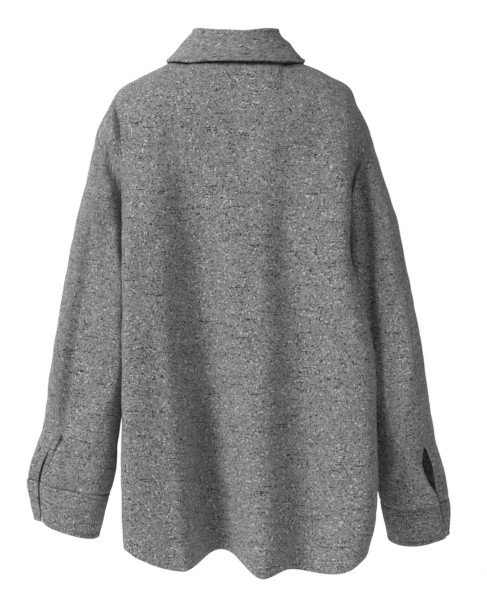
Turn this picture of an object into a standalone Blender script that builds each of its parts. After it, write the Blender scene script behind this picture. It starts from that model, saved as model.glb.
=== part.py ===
"""A woollen overshirt as it hangs when worn. Every cut piece of cloth is a thin closed wall.

Metres. +X is the wearer's left, -Y is the front and +Z is up. The origin lies between the shoulders,
level with the seam of the collar at the back of the neck, where the wearer holds the garment up.
"""

import math

import bmesh
import bpy
import numpy as np

# Cloth
CLOTH = 0.0018  # one layer of tweed
DOUBLED = 0.0030  # the collar, the cuffs and the bands, sewn from two layers
SEAM_GAP = 0.0003  # between two pieces at a seam, and under what lies on a panel
LEFT, RIGHT = 1, -1
BACK, FRONT = 1, -1

# Levels are measured down the centre back from the collar seam
SHOULDER_LEVEL = 0.130  # where the cloth stops curving over the shoulders and hangs
UNDERARM_LEVEL = 0.300
HEM_LEVEL = 0.745

# Across a panel, from 0 at the centre to 1 at the armhole or side seam
NECK_ACROSS = 0.32
EDGE_ACROSS = 0.74  # the fold that stands out beside the arm
VALLEY_ACROSS = 0.86  # the hollow between that fold and the seam

# Neckline
NECK_HALF_WIDTH = 0.067
NECK_SIDE_Y, NECK_SIDE_Z = -0.004, -0.002
NECK_BACK_Y, NECK_BACK_Z = 0.058, -0.012
NECK_FRONT_Y, NECK_FRONT_Z = -0.072, -0.058

# Shoulder seam: a row for each point, from the neck to the armhole
SHOULDER = (
    ("along", "left_x", "left_z", "right_x", "right_z"),
    (0.00, 0.067, -0.002, 0.067, -0.002),
    (0.22, 0.101, -0.015, 0.101, -0.015),
    (0.46, 0.136, -0.034, 0.138, -0.033),
    (0.66, 0.169, -0.052, 0.168, -0.051),
    (0.82, 0.186, -0.078, 0.180, -0.077),
    (1.00, 0.204, -0.118, 0.199, -0.119),
)

# Back panel: a row for each level. Edge and valley give the fold beside the arm.
BACK_SECTIONS = (
    ("level", "centre_z", "centre_y", "middle_y", "edge_rise", "edge_y", "valley_y",
     "left_edge", "left_valley", "right_edge", "right_valley"),
    (0.130, -0.138, 0.098, 0.104, -0.016, 0.074, 0.068, 0.165, 0.167, 0.166, 0.165),
    (0.200, -0.206, 0.110, 0.114, -0.012, 0.086, 0.062, 0.163, 0.156, 0.165, 0.156),
    (0.300, -0.302, 0.114, 0.118, -0.003, 0.092, 0.048, 0.161, 0.147, 0.165, 0.147),
    (0.370, -0.372, 0.114, 0.119, 0.000, 0.094, 0.048, 0.160, 0.146, 0.183, 0.153),
    (0.430, -0.432, 0.113, 0.119, 0.000, 0.094, 0.050, 0.161, 0.148, 0.197, 0.165),
    (0.560, -0.562, 0.115, 0.120, 0.004, 0.096, 0.052, 0.162, 0.154, 0.203, 0.182),
    (0.680, -0.682, 0.120, 0.122, 0.014, 0.095, 0.055, 0.161, 0.155, 0.201, 0.185),
    (0.745, -0.747, 0.124, 0.124, 0.032, 0.090, 0.052, 0.158, 0.156, 0.193, 0.186),
)

# Front: a row for each level
FRONT_SECTIONS = (
    ("level", "centre_z", "centre_y", "middle_y", "edge_rise", "edge_y", "valley_y",
     "left_edge", "left_valley", "right_edge", "right_valley"),
    (0.130, -0.158, -0.100, -0.103, 0.004, -0.070, -0.062, 0.156, 0.165, 0.154, 0.163),
    (0.200, -0.222, -0.118, -0.116, 0.004, -0.080, -0.058, 0.154, 0.154, 0.153, 0.153),
    (0.300, -0.310, -0.128, -0.124, 0.002, -0.088, -0.044, 0.153, 0.147, 0.153, 0.147),
    (0.430, -0.437, -0.128, -0.124, 0.000, -0.092, -0.045, 0.155, 0.148, 0.162, 0.154),
    (0.560, -0.558, -0.130, -0.126, 0.003, -0.094, -0.046, 0.159, 0.156, 0.172, 0.168),
    (0.680, -0.664, -0.133, -0.128, 0.012, -0.094, -0.046, 0.163, 0.160, 0.180, 0.177),
    (0.745, -0.722, -0.135, -0.130, 0.022, -0.088, -0.043, 0.162, 0.160, 0.182, 0.181),
)

# Side seams: a row for each level below the underarm
SIDE_SEAM = (
    ("level", "left_x", "right_x", "z"),
    (0.300, 0.150, 0.150, -0.310),
    (0.370, 0.147, 0.149, -0.372),
    (0.430, 0.148, 0.155, -0.425),
    (0.560, 0.152, 0.167, -0.540),
    (0.680, 0.157, 0.176, -0.645),
    (0.745, 0.159, 0.181, -0.700),
)

# Troughs of the drape: a row for each, deepening from its start to the hem
BACK_FOLDS = (
    ("start_level", "start_across", "hem_across", "half_width", "hem_depth", "growth", "hem_lift"),
    (0.06, 0.33, 0.090, 0.26, 0.063, 0.90, 0.025),
    (0.08, -0.35, -0.37, 0.23, 0.029, 0.80, 0.002),
    (0.40, -0.74, -0.74, 0.14, 0.012, 0.80, 0.000),
    (0.20, 0.66, 0.66, 0.14, -0.005, 0.50, 0.000),
    (0.30, -0.54, -0.52, 0.27, -0.006, 1.60, -0.018),
    (0.30, 0.45, 0.45, 0.22, -0.003, 1.60, -0.004),
    (0.40, -0.14, -0.14, 0.16, -0.004, 1.60, -0.008),
)
FRONT_FOLDS = (
    ("start_level", "start_across", "hem_across", "half_width", "hem_depth", "growth", "hem_lift"),
    (0.14, 0.50, 0.44, 0.24, 0.026, 1.30, 0.003),
    (0.12, -0.46, -0.40, 0.22, 0.030, 1.20, 0.003),
)

# Sleeves: a row for each ring, from the armhole to the end of the cuff. Outer is the side away from
# the body. Slit angles run from the outer side towards the back. Lip is how far the slit's front
# edge stands out.
LEFT_SLEEVE = (
    ("along", "outer_x", "outer_z", "inner_x", "inner_z", "centre_y", "back", "front", "lean",
     "slit_back", "slit_front", "lip"),
    (0.00, 0.2040, -0.118, 0.1500, -0.310, 0.000, 0.068, 0.060, 0.000, 62.4, 62.4, 0.000),
    (0.06, 0.2145, -0.170, 0.1515, -0.319, 0.002, 0.070, 0.062, 0.000, 62, 62, 0.000),
    (0.14, 0.2300, -0.240, 0.1530, -0.347, 0.003, 0.072, 0.066, 0.000, 60, 60, 0.000),
    (0.24, 0.2457, -0.3151, 0.1538, -0.3950, 0.005, 0.071, 0.067, 0.000, 58, 58, 0.000),
    (0.34, 0.2582, -0.3919, 0.1554, -0.4417, 0.010, 0.067, 0.064, 0.002, 54, 54, 0.000),
    (0.46, 0.2724, -0.4792, 0.1629, -0.5070, 0.013, 0.061, 0.060, 0.003, 50, 50, 0.000),
    (0.56, 0.2829, -0.5506, 0.1727, -0.5764, 0.009, 0.055, 0.056, 0.004, 46, 46, 0.000),
    (0.64, 0.2955, -0.5982, 0.1777, -0.6201, 0.004, 0.050, 0.052, 0.004, 36, 30, 0.007),
    (0.68, 0.2972, -0.6240, 0.1846, -0.6449, 0.001, 0.047, 0.049, 0.004, 29, 22, 0.009),
    (0.77, 0.2925, -0.6826, 0.2015, -0.7094, -0.006, 0.044, 0.046, 0.004, 30, 24, 0.004),
)
RIGHT_SLEEVE = (
    ("along", "outer_x", "outer_z", "inner_x", "inner_z", "centre_y", "back", "front", "lean",
     "slit_back", "slit_front", "lip"),
    (0.00, 0.1990, -0.119, 0.1500, -0.310, 0.000, 0.068, 0.060, 0.000, 62.4, 62.4, 0.000),
    (0.06, 0.2120, -0.168, 0.1515, -0.319, 0.002, 0.070, 0.062, 0.000, 62, 62, 0.000),
    (0.14, 0.2330, -0.235, 0.1545, -0.347, 0.003, 0.072, 0.066, 0.000, 60, 60, 0.000),
    (0.24, 0.2492, -0.3151, 0.1588, -0.3950, 0.005, 0.071, 0.067, 0.000, 58, 58, 0.000),
    (0.34, 0.2635, -0.3939, 0.1674, -0.4417, 0.008, 0.067, 0.064, 0.002, 54, 54, 0.000),
    (0.46, 0.2790, -0.4842, 0.1818, -0.5110, 0.009, 0.060, 0.060, 0.005, 50, 50, 0.000),
    (0.56, 0.2930, -0.5635, 0.1965, -0.5834, 0.001, 0.053, 0.056, 0.008, 47, 47, 0.000),
    (0.62, 0.3018, -0.6062, 0.2050, -0.6240, -0.005, 0.048, 0.052, 0.009, 64, 42, 0.006),
    (0.68, 0.3087, -0.6509, 0.2139, -0.6588, -0.011, 0.046, 0.048, 0.010, 48, 32, 0.008),
    (0.77, 0.3062, -0.7064, 0.2258, -0.7134, -0.019, 0.044, 0.046, 0.010, 26, 18, 0.010),
)
SLEEVE_FLAT = 1.4  # how far a sleeve's rings are from ellipses, towards rectangles
ARMHOLE_TUCK = 0.008  # how far the armhole seam cuts in between its top and the underarm
SLIT_START = 0.56
CUFF_START = 0.68
CUFF_END = 0.77
CUFF_PROUD = 0.0007  # the cuff's outside stands proud of the sleeve's
SLIT_REACH = math.radians(75)  # how far round from the slit its lip is felt
BINDING_WIDTH = 0.011
BINDING_START, BINDING_END = 0.552, 0.672

# Front opening
BAND_HALF = 0.017  # half of the band's width
UNDERLAP = 0.0026  # how far the left front is tucked under the right one
TUCK_RAMP = 0.012
BAND_START = 0.010  # level of the band's top, clear of the collar stand

# Collar
STAND_LEAN = 0.0075
STAND_HEIGHT_BACK, STAND_HEIGHT_FRONT = 0.030, 0.027
STAND_LIFT = 0.0006  # from the neckline to the lower edge of the stand
STAND_OVERLAP = math.radians(13)
STAND_SHIFT = 0.0037  # the end underneath goes in by this
STAND_SHIFT_REACH = math.radians(34)
ROLL_RADIUS = 0.0055
ROLL_RISE = 0.0040  # straight up from the stand before the roll
FALL_END = math.radians(12)  # the fall's front edges, at its top and at its points
FALL_POINT = math.radians(27)
# The fall: a row for each angle round the neck from the centre front. Both are measured from the stand's top.
FALL_SECTIONS = (
    ("angle", "out", "drop"),
    (0, 0.040, 0.060),
    (28, 0.057, 0.058),
    (45, 0.060, 0.035),
    (60, 0.052, 0.0275),
    (80, 0.043, 0.028),
    (95, 0.0425, 0.0320),
    (130, 0.039, 0.0350),
    (180, 0.031, 0.0360),
)

# Buttons
FRONT_BUTTONS = 6
FRONT_BUTTON_FIRST, FRONT_BUTTON_LAST = 0.075, 0.610  # levels of the first and the last
BUTTON_RADIUS, BUTTON_THICK = 0.0090, 0.0032
SMALL_BUTTON_RADIUS = 0.0075
BUTTON_RIM, BUTTON_DISH = 0.0018, 0.0009
BUTTON_SIDES = 16
CUFF_BUTTON_COLUMN = -4  # the cuff's column that its button is sewn beside

# How finely each piece is cut into faces
NECK_COLUMNS, SHOULDER_COLUMNS = 6, 12  # across half of a panel
TOP_ROWS, ARMHOLE_ROWS, LOWER_ROWS = 5, 6, 11
SLEEVE_ROWS, SLIT_ROWS, CUFF_ROWS = 12, 4, 3
SLIT_COLUMN = 4  # the armhole point that the sleeve's columns start from
STAND_ROWS = 3
ROLL_ROWS, FALL_ROWS, FALL_COLUMNS = 5, 4, 32
STEP = 1e-4  # for slopes

TWEED = ("tweed", (0.215, 0.215, 0.210), 0.95)
HORN = ("button_horn", (0.085, 0.080, 0.075), 0.35)


def clear_scene():
    for thing in list(bpy.data.objects):
        bpy.data.objects.remove(thing)


def material(name, colour, roughness):
    made = bpy.data.materials.get(name) or bpy.data.materials.new(name)
    made.use_nodes = True
    shader = made.node_tree.nodes["Principled BSDF"]
    shader.inputs["Base Color"].default_value = (*colour, 1.0)
    shader.inputs["Roughness"].default_value = roughness
    shader.inputs["Metallic"].default_value = 0.0
    return made


def soft_step(t):
    t = np.clip(t, 0.0, 1.0)
    return t * t * (3 - 2 * t)


def mix(a, b, t):
    return a + (b - a) * t


def through(knots, values, at):
    """A smooth curve through values at the knots, read at any places. Values may be points."""
    knots = np.asarray(knots, float)
    values = np.asarray(values, float)
    at = np.clip(np.asarray(at, float), knots[0], knots[-1])
    steps = np.diff(knots)
    slopes = np.diff(values, axis=0) / steps.reshape(-1, *[1] * (values.ndim - 1))
    weight = (steps[:-1] / (steps[:-1] + steps[1:])).reshape(-1, *[1] * (values.ndim - 1))
    inner = mix(slopes[:-1], slopes[1:], weight)
    tangents = np.concatenate([slopes[:1], inner, slopes[-1:]])
    i = np.clip(np.searchsorted(knots, at, side="right") - 1, 0, len(steps) - 1)
    t = (at - knots[i]) / steps[i]
    h = steps[i]
    if values.ndim > at.ndim + 1 or values.ndim == 2:
        t, h = t[..., None], h[..., None]
    return (
        values[i] * (1 + 2 * t) * (1 - t) ** 2
        + values[i + 1] * t * t * (3 - 2 * t)
        + h * (tangents[i] * t * (1 - t) ** 2 - tangents[i + 1] * t * t * (1 - t))
    )


def read(table, name, at):
    """One named column of a section table, read as a smooth curve along its first column."""
    column = table[0].index(name)
    rows = np.array(table[1:], float)
    return through(rows[:, 0], rows[:, column], at)


def side_name(side):
    return "left" if side == LEFT else "right"


def unit(v):
    return v / np.maximum(np.linalg.norm(v, axis=-1, keepdims=True), 1e-12)


def sleeve_ring(side, along, angle):
    """A point of a sleeve before its slit opens: along it, and round it from the outer side towards the back."""
    table = LEFT_SLEEVE if side == LEFT else RIGHT_SLEEVE
    outer = np.stack([read(table, "outer_x", along), read(table, "outer_z", along)], -1)
    inner = np.stack([read(table, "inner_x", along), read(table, "inner_z", along)], -1)
    back, front = read(table, "back", along), read(table, "front", along)
    flat = 2 + SLEEVE_FLAT * soft_step(along / 0.14) * soft_step((SLIT_START - 0.03 - along) / 0.12)
    swell = (np.abs(np.cos(angle)) ** flat + np.abs(np.sin(angle)) ** flat) ** (-1 / flat)
    across = mix(inner, outer, (0.5 + 0.5 * swell * np.cos(angle))[..., None])
    depth = swell * np.sin(angle)
    tuck = ARMHOLE_TUCK * depth**2 * soft_step(1 - along / 0.05)
    y = read(table, "centre_y", along) + np.where(depth > 0, back, front) * depth
    z = across[..., 1] - read(table, "lean", along) * depth
    return np.stack([side * (across[..., 0] - tuck), y, z], -1)


def armhole_angle(level):
    return math.pi * np.clip(level / UNDERARM_LEVEL, 0, 1)


def seam_point(side, face, level):
    """Where a panel ends at its side: on the armhole, and below the underarm on the side seam."""
    x = read(SIDE_SEAM, side_name(side) + "_x", level)
    low = np.stack([side * x, 0 * x, read(SIDE_SEAM, "z", level)], -1)
    high = sleeve_ring(side, 0 * level, face * armhole_angle(level))
    return np.where((level < UNDERARM_LEVEL)[..., None], high, low)


def hanging_row(face, across, level):
    """A point of the cloth where it hangs, on a smooth curve through the row's stations."""
    table = BACK_SECTIONS if face == BACK else FRONT_SECTIONS
    level = np.maximum(level, SHOULDER_LEVEL)
    centre_z = read(table, "centre_z", level)
    edge_z = centre_z + read(table, "edge_rise", level)
    centre_y, middle_y = read(table, "centre_y", level), read(table, "middle_y", level)
    edge_y, valley_y = read(table, "edge_y", level), read(table, "valley_y", level)
    stations = []
    for side in (RIGHT, LEFT):
        name = side_name(side)
        edge_x = side * read(table, name + "_edge", level)
        seam = seam_point(side, face, level)
        valley_x = side * read(table, name + "_valley", level)
        valley_z = mix(edge_z, seam[..., 2], 0.5)
        middle_x = edge_x * NECK_ACROSS / EDGE_ACROSS
        half = [
            np.stack([middle_x, middle_y, mix(centre_z, edge_z, 0.10)], -1),
            np.stack([edge_x, edge_y, edge_z], -1),
            np.stack([valley_x, valley_y, valley_z], -1),
            seam,
        ]
        stations.append(half)
    centre = np.stack([0 * level, centre_y, centre_z], -1)
    row = stations[0][::-1] + [centre] + stations[1]
    places = [NECK_ACROSS, EDGE_ACROSS, VALLEY_ACROSS, 1.0]
    knots = np.array([-p for p in places[::-1]] + [0.0] + places)
    return blend_row(knots, np.stack(row), across)


def blend_row(knots, row, across):
    """through(), where each place across has a row of its own."""
    steps = np.diff(knots)
    slopes = np.diff(row, axis=0) / steps.reshape(-1, *[1] * (row.ndim - 1))
    weight = (steps[:-1] / (steps[:-1] + steps[1:])).reshape(-1, *[1] * (row.ndim - 1))
    tangents = np.concatenate([slopes[:1], mix(slopes[:-1], slopes[1:], weight), slopes[-1:]])
    i = np.clip(np.searchsorted(knots, across, side="right") - 1, 0, len(steps) - 1)
    t = ((across - knots[i]) / steps[i])[..., None]
    h = steps[i][..., None]

    def pick(table, index):
        return np.take_along_axis(table, index[None, ..., None], 0)[0]

    return (
        pick(row, i) * (1 + 2 * t) * (1 - t) ** 2
        + pick(row, i + 1) * t * t * (3 - 2 * t)
        + h * (pick(tangents, i) * t * (1 - t) ** 2 - pick(tangents, i + 1) * t * t * (1 - t))
    )


def neck_point(angle):
    """The neckline: 0 at the centre front, a quarter turn at the wearer's left, half a turn at the back."""
    back = -np.cos(angle)
    share = np.abs(back)
    y = NECK_SIDE_Y + share * np.where(back > 0, NECK_BACK_Y - NECK_SIDE_Y, NECK_FRONT_Y - NECK_SIDE_Y)
    drop = np.where(back > 0, NECK_BACK_Z - NECK_SIDE_Z, NECK_FRONT_Z - NECK_SIDE_Z)
    z = NECK_SIDE_Z + drop * share**1.6
    return np.stack([NECK_HALF_WIDTH * np.sin(angle), y, z], -1)


def top_row(face, across):
    """The upper edge of a panel: the neckline, and the shoulder seams on both sides of it."""
    size, side = np.abs(across), np.where(across < 0, RIGHT, LEFT)
    turn = np.clip(size / NECK_ACROSS, 0, 1) * math.pi / 2
    neck = neck_point(np.where(face == BACK, math.pi - side * turn, side * turn))
    along = np.clip((size - NECK_ACROSS) / (1 - NECK_ACROSS), 0, 1)
    x = np.where(side == LEFT, read(SHOULDER, "left_x", along), read(SHOULDER, "right_x", along))
    z = np.where(side == LEFT, read(SHOULDER, "left_z", along), read(SHOULDER, "right_z", along))
    shoulder = np.stack([side * x, NECK_SIDE_Y * (1 - along), z], -1)
    return np.where((size <= NECK_ACROSS)[..., None], neck, shoulder)


def drape(folds, across, level):
    """How far the folds take the cloth in, and how far up."""
    depth, lift = 0 * across, 0 * across
    for start, start_across, hem_across, half_width, hem_depth, growth, hem_lift in folds[1:]:
        grown = np.clip((level - start) / (HEM_LEVEL - start), 0, 1)
        place = (across - mix(start_across, hem_across, grown)) / half_width
        bump = np.where(np.abs(place) < 1, 0.5 + 0.5 * np.cos(math.pi * np.clip(place, -1, 1)), 0)
        depth = depth + hem_depth * grown**growth * bump
        lift = lift + hem_lift * grown**2 * bump
    return depth, lift


def body_point(face, across, level):
    """The outside of the body's cloth. Across runs from -1 at the right seam to 1 at the left one."""
    across, level = np.broadcast_arrays(np.asarray(across, float), np.asarray(level, float))
    point = hanging_row(face, across, level)
    depth, lift = drape(BACK_FOLDS if face == BACK else FRONT_FOLDS, across, level)
    point = point + np.stack([0 * depth, -face * depth, lift], -1)
    turn = np.clip(level / SHOULDER_LEVEL, 0, 1) * math.pi / 2
    over = np.stack([np.sin(turn) ** 2, np.sin(turn), 1 - np.cos(turn)], -1)
    top = top_row(face, across)
    point = mix(top, point, over)
    for side in (RIGHT, LEFT):
        seam = seam_point(side, face, level)
        base = hanging_row(face, 0 * across + side, level)
        wrong = seam - mix(top_row(face, 0 * across + side), base, over)
        point = point + wrong * soft_step((side * across - EDGE_ACROSS) / (1 - EDGE_ACROSS))[..., None]
    return point


def sleeve_point(side, along, turn):
    """The outside of a sleeve and its cuff.

    Turn runs from 0 at the slit's back edge, round the back, the inner side and the front, to 1 at
    its front edge. Above the slit the two edges meet.
    """
    along, turn = np.broadcast_arrays(np.asarray(along, float), np.asarray(turn, float))
    table = LEFT_SLEEVE if side == LEFT else RIGHT_SLEEVE
    opened = along > SLIT_START
    start = np.radians(read(table, "slit_back", along))
    end = np.radians(read(table, "slit_front", along)) + 2 * math.pi
    end = np.where(opened, np.minimum(end, start + 2 * math.pi), start + 2 * math.pi)
    angle = mix(start, end, turn)
    point = sleeve_ring(side, along, angle)
    lip = np.where(opened, read(table, "lip", along), 0) * soft_step(1 - (end - angle) / SLIT_REACH)
    outward = np.stack([side * np.cos(angle), np.sin(angle), 0 * angle], -1)
    return point + lip[..., None] * outward


def normals_of(surface, first, second, first_range, second_range):
    """Outward normals of surface(first, second), from small steps to each side that stay in range."""
    sides = []
    for which, (values, limits) in enumerate(((first, first_range), (second, second_range))):
        low = np.clip(values - STEP, *limits)
        high = np.clip(values + STEP, *limits)
        pair = [(low, second), (high, second)] if which == 0 else [(first, low), (first, high)]
        sides.append(surface(*pair[1]) - surface(*pair[0]))
    return unit(np.cross(sides[0], sides[1]))


class Sheet:
    """A piece of cloth as a grid of outer points, rows by columns, with their normals."""

    def __init__(self, name, points, normals, thickness):
        self.name, self.thickness = name, thickness
        self.points, self.normals = points.copy(), normals.copy()
        self.wraps_until = -1  # rows up to this one are closed rings

    def edge_places(self):
        """Each grid place on an edge, as (row, column)."""
        rows, columns = self.points.shape[:2]
        for r in range(rows):
            for c in range(columns):
                at_row_edge = r in (0, rows - 1)
                at_column_edge = c in (0, columns - 1) and r > self.wraps_until
                if at_row_edge or at_column_edge:
                    yield r, c

    def inward(self, r, c, shared):
        """The way into the cloth from an edge place, across the seam or seams that it lies on."""
        rows, columns = self.points.shape[:2]
        here = self.points[r, c]
        way = np.zeros(3)
        wraps = r <= self.wraps_until
        along_row = wraps or any((r, k) in shared for k in (c - 1, c + 1))
        along_column = any((k, c) in shared for k in (r - 1, r + 1))
        if r in (0, rows - 1) and along_row:
            way = way + unit(self.points[1 if r == 0 else rows - 2, c] - here)
        if c in (0, columns - 1) and along_column and not wraps:
            way = way + unit(self.points[r, 1 if c == 0 else columns - 2] - here)
        return way

    def move_out(self, distance):
        self.points = self.points + self.normals * np.asarray(distance)[..., None]
        return self

    def build(self, look=TWEED):
        """The closed wall: the outer grid, an inner one a cloth's thickness behind it, and the rims between."""
        rows, columns = self.points.shape[:2]
        outer = self.points.reshape(-1, 3)
        inner = (self.points - self.normals * self.thickness).reshape(-1, 3)
        index = np.arange(rows * columns).reshape(rows, columns)
        index[: self.wraps_until + 1, -1] = index[: self.wraps_until + 1, 0]
        faces = []
        for r in range(rows - 1):
            for c in range(columns - 1):
                faces.append((index[r, c], index[r, c + 1], index[r + 1, c + 1], index[r + 1, c]))
        return wall_mesh(self.name, outer, inner, faces, look)


def across_of(way, normal):
    return unit(way - np.sum(way * normal) * normal)


def join(*groups):
    """Sews groups of pieces: places that meet share one normal, and each piece stops short of the seam."""
    places = {}
    for g, sheets in enumerate(groups):
        for sheet in sheets:
            for r, c in sheet.edge_places():
                key = tuple(np.round(sheet.points[r, c] * 2e4).astype(int))
                places.setdefault(key, []).append((g, sheet, r, c))
    met = [found for found in places.values() if len({sheet.name for _, sheet, _, _ in found}) > 1]
    shared = {}
    for found in met:
        for _, sheet, r, c in found:
            shared.setdefault(sheet.name, set()).add((r, c))
    changes = []
    for found in met:
        rows = [(g, s, r, c, s.normals[r, c], s.inward(r, c, shared[s.name])) for g, s, r, c in found]
        here = sorted({row[0] for row in rows})
        faces = {g: np.mean([row[4] for row in rows if row[0] == g], axis=0) for g in here}
        ways = {g: np.mean([row[5] for row in rows if row[0] == g], axis=0) for g in here}
        normal = unit(sum(faces.values()) + 0.5 * sum(ways.values()) * (len(here) > 1))
        for g, sheet, r, c, face, way in rows:
            move = np.zeros(3)
            others = [k for k in here if k != g]
            if others:
                away = ways[g] - np.mean([ways[k] for k in others], axis=0)
                away = away + np.mean([faces[k] for k in others], axis=0) - faces[g]
                move = move + across_of(away, normal)
            beside = [row for row in rows if row[0] == g and row[1] is not sheet]
            if beside:
                away = way - np.mean([row[5] for row in beside], axis=0)
                move = move + across_of(away, normal)
            changes.append((sheet, r, c, normal, move * SEAM_GAP / 2 * 1.2))
    for sheet, r, c, normal, move in changes:
        sheet.normals[r, c] = normal
        sheet.points[r, c] = sheet.points[r, c] + move


def wall_mesh(name, outer, inner, faces, look):
    """Joins an outer and an inner skin that share one list of faces, and closes every open edge with a rim."""
    count = len(outer)
    mesh = bmesh.new()
    vertices = [mesh.verts.new(p) for p in np.concatenate([outer, inner])]
    edges = {}
    for face in faces:
        face = [int(i) for i in dict.fromkeys(face)]
        mesh.faces.new([vertices[i] for i in face])
        mesh.faces.new([vertices[i + count] for i in reversed(face)])
        for a, b in zip(face, face[1:] + face[:1]):
            edges[(a, b)] = True
    for a, b in edges:
        if (b, a) not in edges:
            mesh.faces.new([vertices[b], vertices[a], vertices[a + count], vertices[b + count]])
    bmesh.ops.delete(mesh, geom=[v for v in mesh.verts if not v.link_faces], context="VERTS")
    bmesh.ops.triangulate(mesh, faces=mesh.faces)
    if mesh.calc_volume(signed=True) < 0:
        bmesh.ops.reverse_faces(mesh, faces=mesh.faces)
    data = bpy.data.meshes.new(name)
    mesh.to_mesh(data)
    mesh.free()
    data.shade_smooth()
    data.set_sharp_from_angle(angle=math.radians(50))
    made = bpy.data.objects.new(name, data)
    made.data.materials.append(material(*look))
    bpy.context.collection.objects.link(made)
    return made


def body_columns():
    """Places across half of a panel, from the centre to the side, with one at the side of the neck."""
    neck = np.linspace(0, NECK_ACROSS, NECK_COLUMNS + 1)
    shoulder = np.linspace(NECK_ACROSS, 1, SHOULDER_COLUMNS + 1)[1:]
    return np.concatenate([neck, shoulder])


def body_levels():
    top = np.linspace(0, SHOULDER_LEVEL, TOP_ROWS + 1)
    armhole = np.linspace(SHOULDER_LEVEL, UNDERARM_LEVEL, ARMHOLE_ROWS + 1)[1:]
    lower = np.linspace(UNDERARM_LEVEL, HEM_LEVEL, LOWER_ROWS + 1)[1:]
    return np.concatenate([top, armhole, lower])


def body_sheet(name, face, columns):
    levels, across = np.meshgrid(body_levels(), columns, indexing="ij")

    def surface(a, v):
        return body_point(face, a, v)

    limits = (columns.min(), columns.max())
    normals = normals_of(surface, across, levels, limits, (0, HEM_LEVEL))
    outward = normals[len(normals) // 2, len(columns) // 2, 1] * face
    return Sheet(name, surface(across, levels), normals * np.sign(outward), CLOTH)


def band_across(level):
    """How far across the front, at a level, half of the band reaches."""
    across = 0 * level + 0.08
    for _ in range(6):
        across = across * BAND_HALF / body_point(FRONT, across, level)[..., 0]
    return across


def front_sheet(name, side):
    """Half of the front, from its side seam to past the centre, where right lies over left."""
    half = body_columns()
    levels = body_levels()
    past = band_across(levels)
    rows = []
    for reach in past:
        rows.append(side * np.concatenate([[-reach, 0.0, reach], half[half > reach * 1.15]]))
    longest = min(len(row) for row in rows)
    across = np.array([np.concatenate([row[:3], row[len(row) - longest + 3:]]) for row in rows])
    level_grid = np.repeat(levels[:, None], across.shape[1], axis=1)

    def surface(a, v):
        return body_point(FRONT, a, v)

    normals = normals_of(surface, across, level_grid, (-1, 1), (0, HEM_LEVEL))
    normals = normals * -np.sign(normals[len(levels) // 2, 4, 1])
    sheet = Sheet(name, surface(across, level_grid), normals, CLOTH)
    sheet.across, sheet.levels = across, level_grid
    return sheet


def tucked_under(sheet):
    """How far each point of the left front goes in, so that the right one lies on it."""
    reach = band_across(sheet.levels)
    ramp = TUCK_RAMP / BAND_HALF * reach
    return -UNDERLAP * soft_step((reach + ramp - sheet.across) / ramp)


def front_band():
    """The band down the right front's edge, made from that panel's points moved out."""
    levels = body_levels()
    levels[0] = BAND_START
    places = np.array([1.0, 0.0, -1.0])
    across = places[None, :] * band_across(levels)[:, None] * 0.97
    level_grid = np.repeat(levels[:, None], 3, axis=1)

    def surface(a, v):
        return body_point(FRONT, a, v)

    normals = normals_of(surface, across, level_grid, (-1, 1), (0, HEM_LEVEL))
    normals = normals * -np.sign(normals[len(levels) // 2, 1, 1])
    sheet = Sheet("front_band", surface(across, level_grid), normals, CLOTH)
    return sheet.move_out(np.full(across.shape, CLOTH + SEAM_GAP))


def sleeve_turns():
    """Places round a sleeve that meet the body's rows at the armhole, starting and ending at the slit."""
    down = armhole_angle(body_levels()[: TOP_ROWS + ARMHOLE_ROWS + 1])
    back, front, again = down[SLIT_COLUMN:], -down[::-1][1:], down[1: SLIT_COLUMN + 1]
    angles = np.concatenate([back, 2 * math.pi + front, 2 * math.pi + again])
    return (angles - angles[0]) / (2 * math.pi)


def tube_sheet(name, side, along, turns, thickness):
    alongs, turn_grid = np.meshgrid(along, turns, indexing="ij")

    def surface(a, t):
        return sleeve_point(side, a, t)

    normals = normals_of(surface, alongs, turn_grid, (along[0], along[-1]), (turns[0], turns[-1]))
    sheet = Sheet(name, surface(alongs, turn_grid), normals, thickness)
    middle = sheet.points.mean(axis=1, keepdims=True)
    outward = np.sum((sheet.points - middle) * sheet.normals)
    sheet.normals = sheet.normals * np.sign(outward)
    return sheet


def sleeve_sheet(side):
    upper = np.linspace(0, 1, SLEEVE_ROWS + 1) ** 1.15 * SLIT_START
    slit = np.linspace(SLIT_START, CUFF_START, SLIT_ROWS + 1)[1:]
    along = np.concatenate([upper, slit])
    sheet = tube_sheet("sleeve_" + side_name(side), side, along, sleeve_turns(), CLOTH)
    sheet.wraps_until = SLEEVE_ROWS
    ring = slice(0, SLEEVE_ROWS + 1)
    both = unit(sheet.normals[ring, 0] + sheet.normals[ring, -1])
    sheet.normals[ring, 0] = both
    sheet.normals[ring, -1] = both
    return sheet


def cuff_sheet(side):
    along = np.linspace(CUFF_START, CUFF_END, CUFF_ROWS + 1)
    return tube_sheet("cuff_" + side_name(side), side, along, sleeve_turns(), DOUBLED)


def binding_sheet(side):
    """The strip on the back edge of a slit, made from the sleeve's points moved out."""
    around = np.linalg.norm(np.diff(sleeve_point(side, 0.62, np.linspace(0, 1, 60)), axis=0), axis=1).sum()
    turns = np.array([0.02, 0.5, 0.98]) * BINDING_WIDTH / around
    along = np.linspace(BINDING_START, BINDING_END, 5)
    sheet = tube_sheet("placket_" + side_name(side), side, along, turns, CLOTH)
    shape = sleeve_point(side, 0.62, np.linspace(0, 1, 60))
    outward = np.sum((sheet.points - shape.mean(axis=0)) * sheet.normals)
    sheet.normals = sheet.normals * np.sign(outward)
    return sheet.move_out(np.full(sheet.points.shape[:2], CLOTH + SEAM_GAP))


def neck_outward(angle):
    ahead = neck_point(angle + STEP) - neck_point(angle - STEP)
    return unit(np.stack([-ahead[..., 1], ahead[..., 0], 0 * angle], -1)) * -1


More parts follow.
